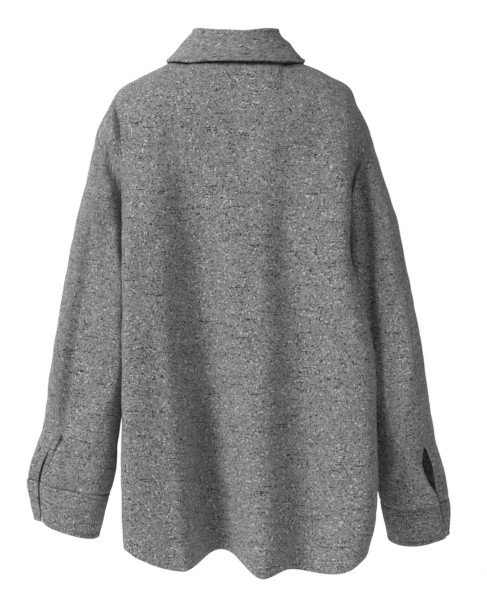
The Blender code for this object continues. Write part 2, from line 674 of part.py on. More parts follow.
def stand_point(angle, up):
    """The outside of the collar stand. Past the centre front its right end lies over its left one."""
    angle, up = np.broadcast_arrays(np.asarray(angle, float), np.asarray(up, float))
    height = mix(STAND_HEIGHT_FRONT, STAND_HEIGHT_BACK, 0.5 - 0.5 * np.cos(angle))
    shift = soft_step((STAND_SHIFT_REACH - angle) / (STAND_SHIFT_REACH - STAND_OVERLAP))
    out = -shift * STAND_SHIFT - STAND_LEAN * up - 0.0005
    lift = np.stack([0 * up, 0 * up, STAND_LIFT + height * up], -1)
    return neck_point(angle) + lift + neck_outward(angle) * out[..., None]


def stand_sheet():
    round_neck = np.linspace(0, 2 * math.pi, 4 * NECK_COLUMNS + 1)
    angles = np.concatenate([[-STAND_OVERLAP], round_neck, [2 * math.pi + STAND_OVERLAP]])
    ups, grid = np.meshgrid(np.linspace(0, 1, STAND_ROWS + 1), angles, indexing="ij")
    normals = normals_of(stand_point, grid, ups, (angles[0], angles[-1]), (0, 1))
    normals = normals * np.sign(np.sum(normals * neck_outward(grid)))
    return Sheet("collar_stand", stand_point(grid, ups), normals, DOUBLED)


def fall_point(place, along):
    """The outside of the collar fall. Place runs round the neck from 0 to 1, along from the stand over the roll
    and down: 0 to 1 is the rise, 1 to 2 the roll and 2 to 3 the fall."""
    place, along = np.broadcast_arrays(np.asarray(place, float), np.asarray(along, float))
    end = mix(FALL_END, FALL_POINT, soft_step(along - 2))
    angle = mix(end, 2 * math.pi - end, place)
    turned = np.degrees(np.where(angle > math.pi, 2 * math.pi - angle, angle))
    out, drop = read(FALL_SECTIONS, "out", turned), read(FALL_SECTIONS, "drop", turned)
    rise, roll, down = (np.clip(along - k, 0, 1) for k in range(3))
    half_turn = math.pi * roll
    o = -DOUBLED + ROLL_RADIUS * (1 - np.cos(half_turn))
    start = STAND_LIFT + 2.4 * SEAM_GAP
    u = start + ROLL_RISE * rise + ROLL_RADIUS * np.sin(half_turn)
    o_end, u_end = 2 * ROLL_RADIUS - DOUBLED, start + ROLL_RISE
    bend_o, bend_u = mix(o_end, out, 0.22), mix(u_end, -drop, 0.50)
    o = o + 2 * down * (1 - down) * (bend_o - o_end) + down**2 * (out - o_end)
    u = u + 2 * down * (1 - down) * (bend_u - u_end) + down**2 * (-drop - u_end)
    height = mix(STAND_HEIGHT_FRONT, STAND_HEIGHT_BACK, 0.5 - 0.5 * np.cos(angle))
    base = neck_point(angle) + np.stack([0 * o, 0 * o, height], -1)
    return base + neck_outward(angle) * (o - STAND_LEAN)[..., None] + np.stack([0 * u, 0 * u, u], -1)


def fall_sheet():
    roll = np.linspace(1, 2, ROLL_ROWS + 1)
    along = np.concatenate([[0.0], roll, np.linspace(2, 3, FALL_ROWS + 1)[1:]])
    alongs, places = np.meshgrid(along, np.linspace(0, 1, FALL_COLUMNS + 1), indexing="ij")
    normals = normals_of(fall_point, places, alongs, (0, 1), (0, 3))
    outward = neck_outward(places[-1] * 2 * math.pi)
    normals = normals * np.sign(np.sum(normals[-1] * outward))
    return Sheet("collar_fall", fall_point(places, alongs), normals, DOUBLED)


def button(name, centre, normal, radius):
    """A round button lying just off the cloth, with a raised rim and a dished middle."""
    normal = unit(np.asarray(normal, float))
    aside = unit(np.cross(normal, [0.0, 0.0, 1.0]))
    upward = np.cross(aside, normal)
    profile = (
        (0.84 * radius, 0.0),
        (radius, 0.45 * BUTTON_THICK),
        (0.93 * radius, BUTTON_THICK),
        (radius - BUTTON_RIM, BUTTON_THICK),
        (radius - 1.6 * BUTTON_RIM, BUTTON_THICK - BUTTON_DISH),
    )
    base = np.asarray(centre, float) + normal * SEAM_GAP * 1.5
    mesh = bmesh.new()
    rings = []
    for reach, height in profile:
        ring = []
        for k in range(BUTTON_SIDES):
            turn = 2 * math.pi * k / BUTTON_SIDES
            way = aside * math.cos(turn) + upward * math.sin(turn)
            ring.append(mesh.verts.new(base + way * reach + normal * height))
        rings.append(ring)
    for low, high in zip(rings, rings[1:]):
        for k in range(BUTTON_SIDES):
            n = (k + 1) % BUTTON_SIDES
            mesh.faces.new([low[k], low[n], high[n], high[k]])
    mesh.faces.new(rings[0][::-1])
    mesh.faces.new(rings[-1])
    bmesh.ops.triangulate(mesh, faces=mesh.faces)
    if mesh.calc_volume(signed=True) < 0:
        bmesh.ops.reverse_faces(mesh, faces=mesh.faces)
    data = bpy.data.meshes.new(name)
    mesh.to_mesh(data)
    mesh.free()
    data.shade_smooth()
    data.set_sharp_from_angle(angle=math.radians(40))
    made = bpy.data.objects.new(name, data)
    made.data.materials.append(material(*HORN))
    bpy.context.collection.objects.link(made)
    return made


def surface_frame(surface, a, b, limits_a, limits_b, outward):
    """A point of a surface and its normal on the side that outward points to."""
    normal = normals_of(surface, np.array([a]), np.array([b]), limits_a, limits_b)[0]
    return surface(np.array([a]), np.array([b]))[0], normal * np.sign(np.dot(normal, outward))


def buttons():
    def front(a, v):
        return body_point(FRONT, a, v)

    for k, level in enumerate(np.linspace(FRONT_BUTTON_FIRST, FRONT_BUTTON_LAST, FRONT_BUTTONS)):
        centre, normal = surface_frame(front, 0.0, level, (-1, 1), (0, HEM_LEVEL), (0, -1, 0))
        button(f"button_front_{k + 1}", centre + normal * (CLOTH + SEAM_GAP), normal, BUTTON_RADIUS)
    centre, normal = surface_frame(stand_point, 2 * math.pi, 0.5, (0, 7), (0, 1), (0, -1, 0))
    button("button_collar", centre, normal, SMALL_BUTTON_RADIUS)
    for side in (LEFT, RIGHT):
        def cuff(a, t):
            return sleeve_point(side, a, t)

        middle_along = (CUFF_START + CUFF_END) / 2
        beside = sleeve_turns()[CUFF_BUTTON_COLUMN: CUFF_BUTTON_COLUMN + 2]
        spots = cuff(middle_along, beside)
        axis_point = cuff(middle_along, np.linspace(0, 1, 40)).mean(axis=0)
        outward = spots.mean(axis=0) - axis_point
        limits = (CUFF_START, CUFF_END), (0, 1)
        _, normal = surface_frame(cuff, middle_along, beside.mean(), *limits, outward)
        centre = spots.mean(axis=0)
        button("button_cuff_" + side_name(side), centre + normal * CUFF_PROUD, normal, SMALL_BUTTON_RADIUS)


def main():
    clear_scene()
    half = body_columns()
    back = body_sheet("back", BACK, np.concatenate([-half[:0:-1], half]))
    fronts = {side: front_sheet("front_" + side_name(side), side) for side in (LEFT, RIGHT)}
    sheets = [back, fronts[LEFT], fronts[RIGHT]]
    for side in (LEFT, RIGHT):
        sleeve, cuff = sleeve_sheet(side), cuff_sheet(side)
        join([back, fronts[side]], [sleeve])
        join([sleeve], [cuff])
        cuff.move_out(np.full(cuff.points.shape[:2], CUFF_PROUD))
        sheets += [sleeve, cuff, binding_sheet(side)]
    fronts[LEFT].move_out(tucked_under(fronts[LEFT]))
    for sheet in sheets + [front_band(), stand_sheet(), fall_sheet()]:
        sheet.build()
    buttons()


main()
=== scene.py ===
"""The looks of a tweed overshirt: each cut piece is a thin shell of cloth on the form of its solid.

Metres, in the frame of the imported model. +X is the wearer's left, -Y is the front and +Z is up.
"""

import math

import bmesh
import bpy
import numpy as np
from mathutils import Matrix, Vector


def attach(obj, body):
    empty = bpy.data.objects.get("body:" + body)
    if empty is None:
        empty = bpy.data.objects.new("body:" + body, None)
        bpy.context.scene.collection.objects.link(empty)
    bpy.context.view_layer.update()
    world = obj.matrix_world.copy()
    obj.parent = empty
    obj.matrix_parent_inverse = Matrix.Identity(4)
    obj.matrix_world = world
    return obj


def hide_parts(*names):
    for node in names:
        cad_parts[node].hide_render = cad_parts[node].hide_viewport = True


# Cloth
CLOTH = 0.0018  # one layer of tweed
DOUBLED = 0.0030  # the collar and the cuffs, sewn from two layers
SEAM_GAP = 0.0003  # between two pieces at a seam, and under what lies on a panel
LEFT, RIGHT = 1, -1
BACK, FRONT = 1, -1

# Levels are measured down the centre back from the collar seam
SHOULDER_LEVEL = 0.130  # where the cloth stops curving over the shoulders and hangs
UNDERARM_LEVEL = 0.300
HEM_LEVEL = 0.745

# Across a panel, from 0 at the centre to 1 at the armhole or side seam
NECK_ACROSS = 0.32
EDGE_ACROSS = 0.74  # the fold that stands out beside the arm
VALLEY_ACROSS = 0.86  # the hollow between that fold and the seam
MIDDLE_RISE = 0.10  # how much of the rise from the centre to that fold is reached below the neck's side

# Neckline
NECK_HALF_WIDTH = 0.067
NECK_SIDE_Y, NECK_SIDE_Z = -0.004, -0.002
NECK_BACK_Y, NECK_BACK_Z = 0.058, -0.012
NECK_FRONT_Y, NECK_FRONT_Z = -0.072, -0.058
NECK_DROP_CURVE = 1.6  # how late, going to the front or the back, the neckline drops

# Shoulder seam: a row for each point, from the neck to the armhole
SHOULDER = (
    ("along", "left_x", "left_z", "right_x", "right_z"),
    (0.00, 0.067, -0.002, 0.067, -0.002),
    (0.22, 0.101, -0.015, 0.101, -0.015),
    (0.46, 0.136, -0.034, 0.138, -0.033),
    (0.66, 0.169, -0.052, 0.168, -0.051),
    (0.82, 0.186, -0.078, 0.180, -0.077),
    (1.00, 0.204, -0.118, 0.199, -0.119),
)

# Back panel: a row for each level. Edge and valley give the fold beside the arm.
BACK_SECTIONS = (
    ("level", "centre_z", "centre_y", "middle_y", "edge_rise", "edge_y", "valley_y",
     "left_edge", "left_valley", "right_edge", "right_valley"),
    (0.130, -0.138, 0.098, 0.104, -0.016, 0.074, 0.068, 0.165, 0.167, 0.166, 0.165),
    (0.200, -0.206, 0.110, 0.114, -0.012, 0.086, 0.062, 0.163, 0.156, 0.165, 0.156),
    (0.300, -0.302, 0.114, 0.118, -0.003, 0.092, 0.048, 0.161, 0.147, 0.165, 0.147),
    (0.370, -0.372, 0.114, 0.119, 0.000, 0.094, 0.048, 0.160, 0.146, 0.183, 0.153),
    (0.430, -0.432, 0.113, 0.119, 0.000, 0.094, 0.050, 0.161, 0.148, 0.197, 0.165),
    (0.560, -0.562, 0.115, 0.120, 0.004, 0.096, 0.052, 0.162, 0.154, 0.203, 0.182),
    (0.680, -0.682, 0.120, 0.122, 0.014, 0.095, 0.055, 0.161, 0.155, 0.201, 0.185),
    (0.745, -0.747, 0.124, 0.124, 0.032, 0.090, 0.052, 0.158, 0.156, 0.193, 0.186),
)

# Front: a row for each level
FRONT_SECTIONS = (
    ("level", "centre_z", "centre_y", "middle_y", "edge_rise", "edge_y", "valley_y",
     "left_edge", "left_valley", "right_edge", "right_valley"),
    (0.130, -0.158, -0.100, -0.103, 0.004, -0.070, -0.062, 0.156, 0.165, 0.154, 0.163),
    (0.200, -0.222, -0.118, -0.116, 0.004, -0.080, -0.058, 0.154, 0.154, 0.153, 0.153),
    (0.300, -0.310, -0.128, -0.124, 0.002, -0.088, -0.044, 0.153, 0.147, 0.153, 0.147),
    (0.430, -0.437, -0.128, -0.124, 0.000, -0.092, -0.045, 0.155, 0.148, 0.162, 0.154),
    (0.560, -0.558, -0.130, -0.126, 0.003, -0.094, -0.046, 0.159, 0.156, 0.172, 0.168),
    (0.680, -0.664, -0.133, -0.128, 0.012, -0.094, -0.046, 0.163, 0.160, 0.180, 0.177),
    (0.745, -0.722, -0.135, -0.130, 0.022, -0.088, -0.043, 0.162, 0.160, 0.182, 0.181),
)

# Side seams: a row for each level below the underarm
SIDE_SEAM = (
    ("level", "left_x", "right_x", "z"),
    (0.300, 0.150, 0.150, -0.310),
    (0.370, 0.147, 0.149, -0.372),
    (0.430, 0.148, 0.155, -0.425),
    (0.560, 0.152, 0.167, -0.540),
    (0.680, 0.157, 0.176, -0.645),
    (0.745, 0.159, 0.181, -0.700),
)

# Troughs of the drape: a row for each, deepening from its start to the hem
BACK_FOLDS = (
    ("start_level", "start_across", "hem_across", "half_width", "hem_depth", "growth", "hem_lift"),
    (0.06, 0.33, 0.090, 0.26, 0.063, 0.90, 0.025),
    (0.08, -0.35, -0.37, 0.23, 0.029, 0.80, 0.002),
    (0.40, -0.74, -0.74, 0.14, 0.012, 0.80, 0.000),
    (0.20, 0.66, 0.66, 0.14, -0.005, 0.50, 0.000),
    (0.30, -0.54, -0.52, 0.27, -0.006, 1.60, -0.018),
    (0.30, 0.45, 0.45, 0.22, -0.003, 1.60, -0.004),
    (0.40, -0.14, -0.14, 0.16, -0.004, 1.60, -0.008),
)
FRONT_FOLDS = (
    ("start_level", "start_across", "hem_across", "half_width", "hem_depth", "growth", "hem_lift"),
    (0.14, 0.50, 0.44, 0.24, 0.026, 1.30, 0.003),
    (0.12, -0.46, -0.40, 0.22, 0.030, 1.20, 0.003),
)

# Sleeves: a row for each ring, from the armhole to the end of the cuff. Outer is the side away from
# the body. Slit angles run from the outer side towards the back. Lip is how far the slit's front
# edge stands out.
LEFT_SLEEVE = (
    ("along", "outer_x", "outer_z", "inner_x", "inner_z", "centre_y", "back", "front", "lean",
     "slit_back", "slit_front", "lip"),
    (0.00, 0.2040, -0.118, 0.1500, -0.310, 0.000, 0.068, 0.060, 0.000, 62.4, 62.4, 0.000),
    (0.06, 0.2145, -0.170, 0.1515, -0.319, 0.002, 0.070, 0.062, 0.000, 62, 62, 0.000),
    (0.14, 0.2300, -0.240, 0.1530, -0.347, 0.003, 0.072, 0.066, 0.000, 60, 60, 0.000),
    (0.24, 0.2457, -0.3151, 0.1538, -0.3950, 0.005, 0.071, 0.067, 0.000, 58, 58, 0.000),
    (0.34, 0.2582, -0.3919, 0.1554, -0.4417, 0.010, 0.067, 0.064, 0.002, 54, 54, 0.000),
    (0.46, 0.2724, -0.4792, 0.1629, -0.5070, 0.013, 0.061, 0.060, 0.003, 50, 50, 0.000),
    (0.56, 0.2829, -0.5506, 0.1727, -0.5764, 0.009, 0.055, 0.056, 0.004, 46, 46, 0.000),
    (0.64, 0.2955, -0.5982, 0.1777, -0.6201, 0.004, 0.050, 0.052, 0.004, 36, 30, 0.007),
    (0.68, 0.2972, -0.6240, 0.1846, -0.6449, 0.001, 0.047, 0.049, 0.004, 29, 22, 0.009),
    (0.77, 0.2925, -0.6826, 0.2015, -0.7094, -0.006, 0.044, 0.046, 0.004, 30, 24, 0.004),
)
RIGHT_SLEEVE = (
    ("along", "outer_x", "outer_z", "inner_x", "inner_z", "centre_y", "back", "front", "lean",
     "slit_back", "slit_front", "lip"),
    (0.00, 0.1990, -0.119, 0.1500, -0.310, 0.000, 0.068, 0.060, 0.000, 62.4, 62.4, 0.000),
    (0.06, 0.2120, -0.168, 0.1515, -0.319, 0.002, 0.070, 0.062, 0.000, 62, 62, 0.000),
    (0.14, 0.2330, -0.235, 0.1545, -0.347, 0.003, 0.072, 0.066, 0.000, 60, 60, 0.000),
    (0.24, 0.2492, -0.3151, 0.1588, -0.3950, 0.005, 0.071, 0.067, 0.000, 58, 58, 0.000),
    (0.34, 0.2635, -0.3939, 0.1674, -0.4417, 0.008, 0.067, 0.064, 0.002, 54, 54, 0.000),
    (0.46, 0.2790, -0.4842, 0.1818, -0.5110, 0.009, 0.060, 0.060, 0.005, 50, 50, 0.000),
    (0.56, 0.2930, -0.5635, 0.1965, -0.5834, 0.001, 0.053, 0.056, 0.008, 47, 47, 0.000),
    (0.62, 0.3018, -0.6062, 0.2050, -0.6240, -0.005, 0.048, 0.052, 0.009, 64, 42, 0.006),
    (0.68, 0.3087, -0.6509, 0.2139, -0.6588, -0.011, 0.046, 0.048, 0.010, 48, 32, 0.008),
    (0.77, 0.3062, -0.7064, 0.2258, -0.7134, -0.019, 0.044, 0.046, 0.010, 26, 18, 0.010),
)
SLEEVE_FLAT = 1.4  # how far a sleeve's rings are from ellipses, towards rectangles
# They are so from here along, until this far before the slit, and cease to be over this length
FLAT_FROM, FLAT_UNTIL, FLAT_FADE = 0.14, 0.03, 0.12
ARMHOLE_TUCK = 0.008  # how far the armhole seam cuts in between its top and the underarm
ARMHOLE_TUCK_REACH = 0.05  # how far along the sleeve that is felt
SLIT_START = 0.56
CUFF_START = 0.68
CUFF_END = 0.77
CUFF_PROUD = 0.0007  # the cuff's outside stands proud of the sleeve's
SLIT_REACH = math.radians(75)  # how far round from the slit its lip is felt
BINDING_WIDTH = 0.011
BINDING_START, BINDING_END = 0.552, 0.672

# Front opening
BAND_HALF = 0.017  # half of the band's width
UNDERLAP = 0.0026  # how far the left front is tucked under the right one
TUCK_RAMP = 0.012
BAND_START = 0.010  # level of the band's top, clear of the collar stand
BAND_GUESS, BAND_ROUNDS = 0.08, 6  # for working out how far across the front it reaches

# Collar
STAND_LEAN = 0.0075
STAND_HEIGHT_BACK, STAND_HEIGHT_FRONT = 0.030, 0.027
STAND_LIFT = 0.0006  # from the neckline to the lower edge of the stand
STAND_INSET = 0.0005  # how far inside the neckline its lower edge lies
STAND_OVERLAP = math.radians(13)
STAND_SHIFT = 0.0037  # the end underneath goes in by this
STAND_SHIFT_REACH = math.radians(34)
ROLL_RADIUS = 0.0055
ROLL_RISE = 0.0040  # straight up from the stand before the roll
FALL_LIFT = STAND_LIFT + 2.4 * SEAM_GAP  # from the stand's top to the fall's sewn edge
FALL_BEND_OUT, FALL_BEND_DOWN = 0.22, 0.50  # where the fall bends, as shares of the way to its edge
FALL_END = math.radians(12)  # the fall's front edges, at its top and at its points
FALL_POINT = math.radians(27)
# The fall: a row for each angle round the neck, in degrees from the centre front. How far out its edge
# lies and how far down are both measured from the stand's top.
FALL_SECTIONS = (
    ("angle", "out", "drop"),
    (0, 0.040, 0.060),
    (28, 0.057, 0.058),
    (45, 0.060, 0.035),
    (60, 0.052, 0.0275),
    (80, 0.043, 0.028),
    (95, 0.0425, 0.0320),
    (130, 0.039, 0.0350),
    (180, 0.031, 0.0360),
)

# Buttons
FRONT_BUTTONS = 6
FRONT_BUTTON_FIRST, FRONT_BUTTON_LAST = 0.075, 0.610  # levels of the first and the last
BUTTON_RADIUS, BUTTON_THICK = 0.0090, 0.0032
SMALL_BUTTON_RADIUS = 0.0075
BUTTON_RIM, BUTTON_DISH = 0.0018, 0.0009
CUFF_BUTTON_COLUMN = -4  # the cuff's column that its button is sewn beside

# The solids' own rows down the armhole, which place the cuff buttons
TOP_ROWS, ARMHOLE_ROWS = 5, 6
SLIT_COLUMN = 4  # the armhole point that the sleeve's columns start from
STEP = 1e-4  # for slopes


def soft_step(t):
    t = np.clip(t, 0.0, 1.0)
    return t * t * (3 - 2 * t)


def mix(a, b, t):
    return a + (b - a) * t


def tangents(knots, values):
    """The slopes at the knots of a smooth curve through the values."""
    steps = np.diff(knots)
    slopes = np.diff(values, axis=0) / steps.reshape(-1, *[1] * (values.ndim - 1))
    weight = (steps[:-1] / (steps[:-1] + steps[1:])).reshape(-1, *[1] * (values.ndim - 1))
    return np.concatenate([slopes[:1], mix(slopes[:-1], slopes[1:], weight), slopes[-1:]])


def knot_before(knots, at):
    return np.clip(np.searchsorted(knots, at, side="right") - 1, 0, len(knots) - 2)


def curve(start, end, start_slope, end_slope, step, t):
    """A place between two knots that lie a step apart, with t from 0 to 1."""
    return (
        start * (1 + 2 * t) * (1 - t) ** 2
        + end * t * t * (3 - 2 * t)
        + step * (start_slope * t * (1 - t) ** 2 - end_slope * t * t * (1 - t))
    )


def through(knots, values, at):
    """A smooth curve through values at the knots, read at any places."""
    at = np.clip(np.asarray(at, float), knots[0], knots[-1])
    slopes = tangents(knots, values)
    i = knot_before(knots, at)
    step = np.diff(knots)[i]
    return curve(values[i], values[i + 1], slopes[i], slopes[i + 1], step, (at - knots[i]) / step)


def read(table, name, at):
    """One named column of a section table, read as a smooth curve along its first column."""
    column = table[0].index(name)
    rows = np.array(table[1:], float)
    return through(rows[:, 0], rows[:, column], at)


def side_name(side):
    return "left" if side == LEFT else "right"


def unit(v):
    return v / np.maximum(np.linalg.norm(v, axis=-1, keepdims=True), 1e-12)


def sleeve_table(side):
    return LEFT_SLEEVE if side == LEFT else RIGHT_SLEEVE


def sleeve_ring(side, along, angle):
    """A point of a sleeve before its slit opens: along it, and round it from the outer side to the back."""
    table = sleeve_table(side)
    outer, inner = (
        np.stack([read(table, name + "_x", along), read(table, name + "_z", along)], -1)
        for name in ("outer", "inner")
    )
    back, front = read(table, "back", along), read(table, "front", along)
    flattened = soft_step(along / FLAT_FROM) * soft_step((SLIT_START - FLAT_UNTIL - along) / FLAT_FADE)
    flat = 2 + SLEEVE_FLAT * flattened
    swell = (np.abs(np.cos(angle)) ** flat + np.abs(np.sin(angle)) ** flat) ** (-1 / flat)
    across = mix(inner, outer, (0.5 + 0.5 * swell * np.cos(angle))[..., None])
    depth = swell * np.sin(angle)
    tuck = ARMHOLE_TUCK * depth**2 * soft_step(1 - along / ARMHOLE_TUCK_REACH)
    y = read(table, "centre_y", along) + np.where(depth > 0, back, front) * depth
    z = across[..., 1] - read(table, "lean", along) * depth
    return np.stack([side * (across[..., 0] - tuck), y, z], -1)


def armhole_angle(level):
    return math.pi * np.clip(level / UNDERARM_LEVEL, 0, 1)


def seam_point(side, face, level):
    """Where a panel ends at its side: on the armhole, and below the underarm on the side seam."""
    x = read(SIDE_SEAM, side_name(side) + "_x", level)
    low = np.stack([side * x, 0 * x, read(SIDE_SEAM, "z", level)], -1)
    high = sleeve_ring(side, 0 * level, face * armhole_angle(level))
    return np.where((level < UNDERARM_LEVEL)[..., None], high, low)


def hanging_row(face, across, level):
    """A point of the cloth where it hangs, on a smooth curve through the row's stations."""
    table = BACK_SECTIONS if face == BACK else FRONT_SECTIONS
    level = np.maximum(level, SHOULDER_LEVEL)
    centre_z = read(table, "centre_z", level)
    edge_z = centre_z + read(table, "edge_rise", level)
    centre_y, middle_y = read(table, "centre_y", level), read(table, "middle_y", level)
    edge_y, valley_y = read(table, "edge_y", level), read(table, "valley_y", level)
    stations = []
    for side in (RIGHT, LEFT):
        name = side_name(side)
        edge_x = side * read(table, name + "_edge", level)
        seam = seam_point(side, face, level)
        valley_x = side * read(table, name + "_valley", level)
        valley_z = mix(edge_z, seam[..., 2], 0.5)
        middle_x = edge_x * NECK_ACROSS / EDGE_ACROSS
        half = [
            np.stack([middle_x, middle_y, mix(centre_z, edge_z, MIDDLE_RISE)], -1),
            np.stack([edge_x, edge_y, edge_z], -1),
            np.stack([valley_x, valley_y, valley_z], -1),
            seam,
        ]
        stations.append(half)
    centre = np.stack([0 * level, centre_y, centre_z], -1)
    row = stations[0][::-1] + [centre] + stations[1]
    places = [NECK_ACROSS, EDGE_ACROSS, VALLEY_ACROSS, 1.0]
    knots = np.array([-p for p in places[::-1]] + [0.0] + places)
    return blend_row(knots, np.stack(row), across)


def blend_row(knots, row, across):
    """through(), where each place across has a row of its own."""
    slopes = tangents(knots, row)
    i = knot_before(knots, across)
    step = np.diff(knots)[i]
    t = ((across - knots[i]) / step)[..., None]

    def pick(table, index):
        return np.take_along_axis(table, index[None, ..., None], 0)[0]

    return curve(pick(row, i), pick(row, i + 1), pick(slopes, i), pick(slopes, i + 1), step[..., None], t)


def neck_point(angle):
    """The neckline: 0 at the centre front, a quarter turn at the wearer's left, half a turn at the back."""
    back = -np.cos(angle)
    share = np.abs(back)
    y = NECK_SIDE_Y + share * np.where(back > 0, NECK_BACK_Y - NECK_SIDE_Y, NECK_FRONT_Y - NECK_SIDE_Y)
    drop = np.where(back > 0, NECK_BACK_Z - NECK_SIDE_Z, NECK_FRONT_Z - NECK_SIDE_Z)
    z = NECK_SIDE_Z + drop * share**NECK_DROP_CURVE
    return np.stack([NECK_HALF_WIDTH * np.sin(angle), y, z], -1)


def top_row(face, across):
    """The upper edge of a panel: the neckline, and the shoulder seams on both sides of it."""
    size, side = np.abs(across), np.where(across < 0, RIGHT, LEFT)
    turn = np.clip(size / NECK_ACROSS, 0, 1) * math.pi / 2
    neck = neck_point(np.where(face == BACK, math.pi - side * turn, side * turn))
    along = np.clip((size - NECK_ACROSS) / (1 - NECK_ACROSS), 0, 1)
    x = np.where(side == LEFT, read(SHOULDER, "left_x", along), read(SHOULDER, "right_x", along))
    z = np.where(side == LEFT, read(SHOULDER, "left_z", along), read(SHOULDER, "right_z", along))
    shoulder = np.stack([side * x, NECK_SIDE_Y * (1 - along), z], -1)
    return np.where((size <= NECK_ACROSS)[..., None], neck, shoulder)


def drape(folds, across, level):
    """How far the folds take the cloth in, and how far up."""
    depth, lift = 0 * across, 0 * across
    for start, start_across, hem_across, half_width, hem_depth, growth, hem_lift in folds[1:]:
        grown = np.clip((level - start) / (HEM_LEVEL - start), 0, 1)
        place = (across - mix(start_across, hem_across, grown)) / half_width
        bump = np.where(np.abs(place) < 1, 0.5 + 0.5 * np.cos(math.pi * np.clip(place, -1, 1)), 0)
        depth = depth + hem_depth * grown**growth * bump
        lift = lift + hem_lift * grown**2 * bump
    return depth, lift


def body_point(face, across, level):
    """The outside of the body's cloth. Across runs from -1 at the right seam to 1 at the left one."""
    across, level = np.broadcast_arrays(np.asarray(across, float), np.asarray(level, float))
    point = hanging_row(face, across, level)
    depth, lift = drape(BACK_FOLDS if face == BACK else FRONT_FOLDS, across, level)
    point = point + np.stack([0 * depth, -face * depth, lift], -1)
    turn = np.clip(level / SHOULDER_LEVEL, 0, 1) * math.pi / 2
    over = np.stack([np.sin(turn) ** 2, np.sin(turn), 1 - np.cos(turn)], -1)
    top = top_row(face, across)
    point = mix(top, point, over)
    for side in (RIGHT, LEFT):
        seam = seam_point(side, face, level)
        base = hanging_row(face, 0 * across + side, level)
        wrong = seam - mix(top_row(face, 0 * across + side), base, over)
        point = point + wrong * soft_step((side * across - EDGE_ACROSS) / (1 - EDGE_ACROSS))[..., None]
    return point


def sleeve_point(side, along, turn):
    """The outside of a sleeve and its cuff.

    Turn runs from 0 at the slit's back edge, round the back, the inner side and the front, to 1 at
    its front edge. Above the slit the two edges meet.
    """
    along, turn = np.broadcast_arrays(np.asarray(along, float), np.asarray(turn, float))
    table = sleeve_table(side)
    opened = along > SLIT_START
    start = np.radians(read(table, "slit_back", along))
    end = np.radians(read(table, "slit_front", along)) + 2 * math.pi
    end = np.where(opened, np.minimum(end, start + 2 * math.pi), start + 2 * math.pi)
    angle = mix(start, end, turn)
    point = sleeve_ring(side, along, angle)
    lip = np.where(opened, read(table, "lip", along), 0) * soft_step(1 - (end - angle) / SLIT_REACH)
    outward = np.stack([side * np.cos(angle), np.sin(angle), 0 * angle], -1)
    return point + lip[..., None] * outward


def normals_of(surface, first, second, first_range, second_range):
    """Outward normals of surface(first, second), from small steps to each side that stay in range."""
    sides = []
    for which, (values, limits) in enumerate(((first, first_range), (second, second_range))):
        low = np.clip(values - STEP, *limits)
        high = np.clip(values + STEP, *limits)
        pair = [(low, second), (high, second)] if which == 0 else [(first, low), (first, high)]
        sides.append(surface(*pair[1]) - surface(*pair[0]))
    return unit(np.cross(sides[0], sides[1]))


def band_across(level):
    """How far across the front, at a level, half of the band reaches. A first guess is mended in rounds."""
    across = 0 * level + BAND_GUESS
    for _ in range(BAND_ROUNDS):
        across = across * BAND_HALF / body_point(FRONT, across, level)[..., 0]
    return across


def sleeve_turns():
    """Places round a sleeve that meet the body's rows at the armhole, starting and ending at the slit."""
    top = np.linspace(0, SHOULDER_LEVEL, TOP_ROWS + 1)
    armhole = np.linspace(SHOULDER_LEVEL, UNDERARM_LEVEL, ARMHOLE_ROWS + 1)[1:]
    down = armhole_angle(np.concatenate([top, armhole]))
    back, front, again = down[SLIT_COLUMN:], -down[::-1][1:], down[1: SLIT_COLUMN + 1]
    angles = np.concatenate([back, 2 * math.pi + front, 2 * math.pi + again])
    return (angles - angles[0]) / (2 * math.pi)


def neck_outward(angle):
    ahead = neck_point(angle + STEP) - neck_point(angle - STEP)
    return unit(np.stack([ahead[..., 1], -ahead[..., 0], 0 * angle], -1))


def stand_height(angle):
    return mix(STAND_HEIGHT_FRONT, STAND_HEIGHT_BACK, 0.5 - 0.5 * np.cos(angle))


def stand_point(angle, up):
    """The outside of the collar stand. Past the centre front its right end lies over its left one."""
    angle, up = np.broadcast_arrays(np.asarray(angle, float), np.asarray(up, float))
    shift = soft_step((STAND_SHIFT_REACH - angle) / (STAND_SHIFT_REACH - STAND_OVERLAP))
    out = -shift * STAND_SHIFT - STAND_LEAN * up - STAND_INSET
    lift = np.stack([0 * up, 0 * up, STAND_LIFT + stand_height(angle) * up], -1)
    return neck_point(angle) + lift + neck_outward(angle) * out[..., None]


def fall_point(place, along):
    """The outside of the collar fall.

    Place runs round the neck from 0 to 1. Along runs from the stand: 0 to 1 is the rise, 1 to 2 the
    roll and 2 to 3 the fall.
    """
    place, along = np.broadcast_arrays(np.asarray(place, float), np.asarray(along, float))
    end = mix(FALL_END, FALL_POINT, soft_step(along - 2))
    angle = mix(end, 2 * math.pi - end, place)
    turned = np.degrees(np.where(angle > math.pi, 2 * math.pi - angle, angle))
    out, drop = read(FALL_SECTIONS, "out", turned), read(FALL_SECTIONS, "drop", turned)
    rise, roll, down = (np.clip(along - k, 0, 1) for k in range(3))
    half_turn = math.pi * roll
    o = -DOUBLED + ROLL_RADIUS * (1 - np.cos(half_turn))
    u = FALL_LIFT + ROLL_RISE * rise + ROLL_RADIUS * np.sin(half_turn)
    o_end, u_end = 2 * ROLL_RADIUS - DOUBLED, FALL_LIFT + ROLL_RISE
    bend_o, bend_u = mix(o_end, out, FALL_BEND_OUT), mix(u_end, -drop, FALL_BEND_DOWN)
    o = o + 2 * down * (1 - down) * (bend_o - o_end) + down**2 * (out - o_end)
    u = u + 2 * down * (1 - down) * (bend_u - u_end) + down**2 * (-drop - u_end)
    base = neck_point(angle) + np.stack([0 * o, 0 * o, stand_height(angle)], -1)
    return base + neck_outward(angle) * (o - STAND_LEAN)[..., None] + np.stack([0 * u, 0 * u, u], -1)


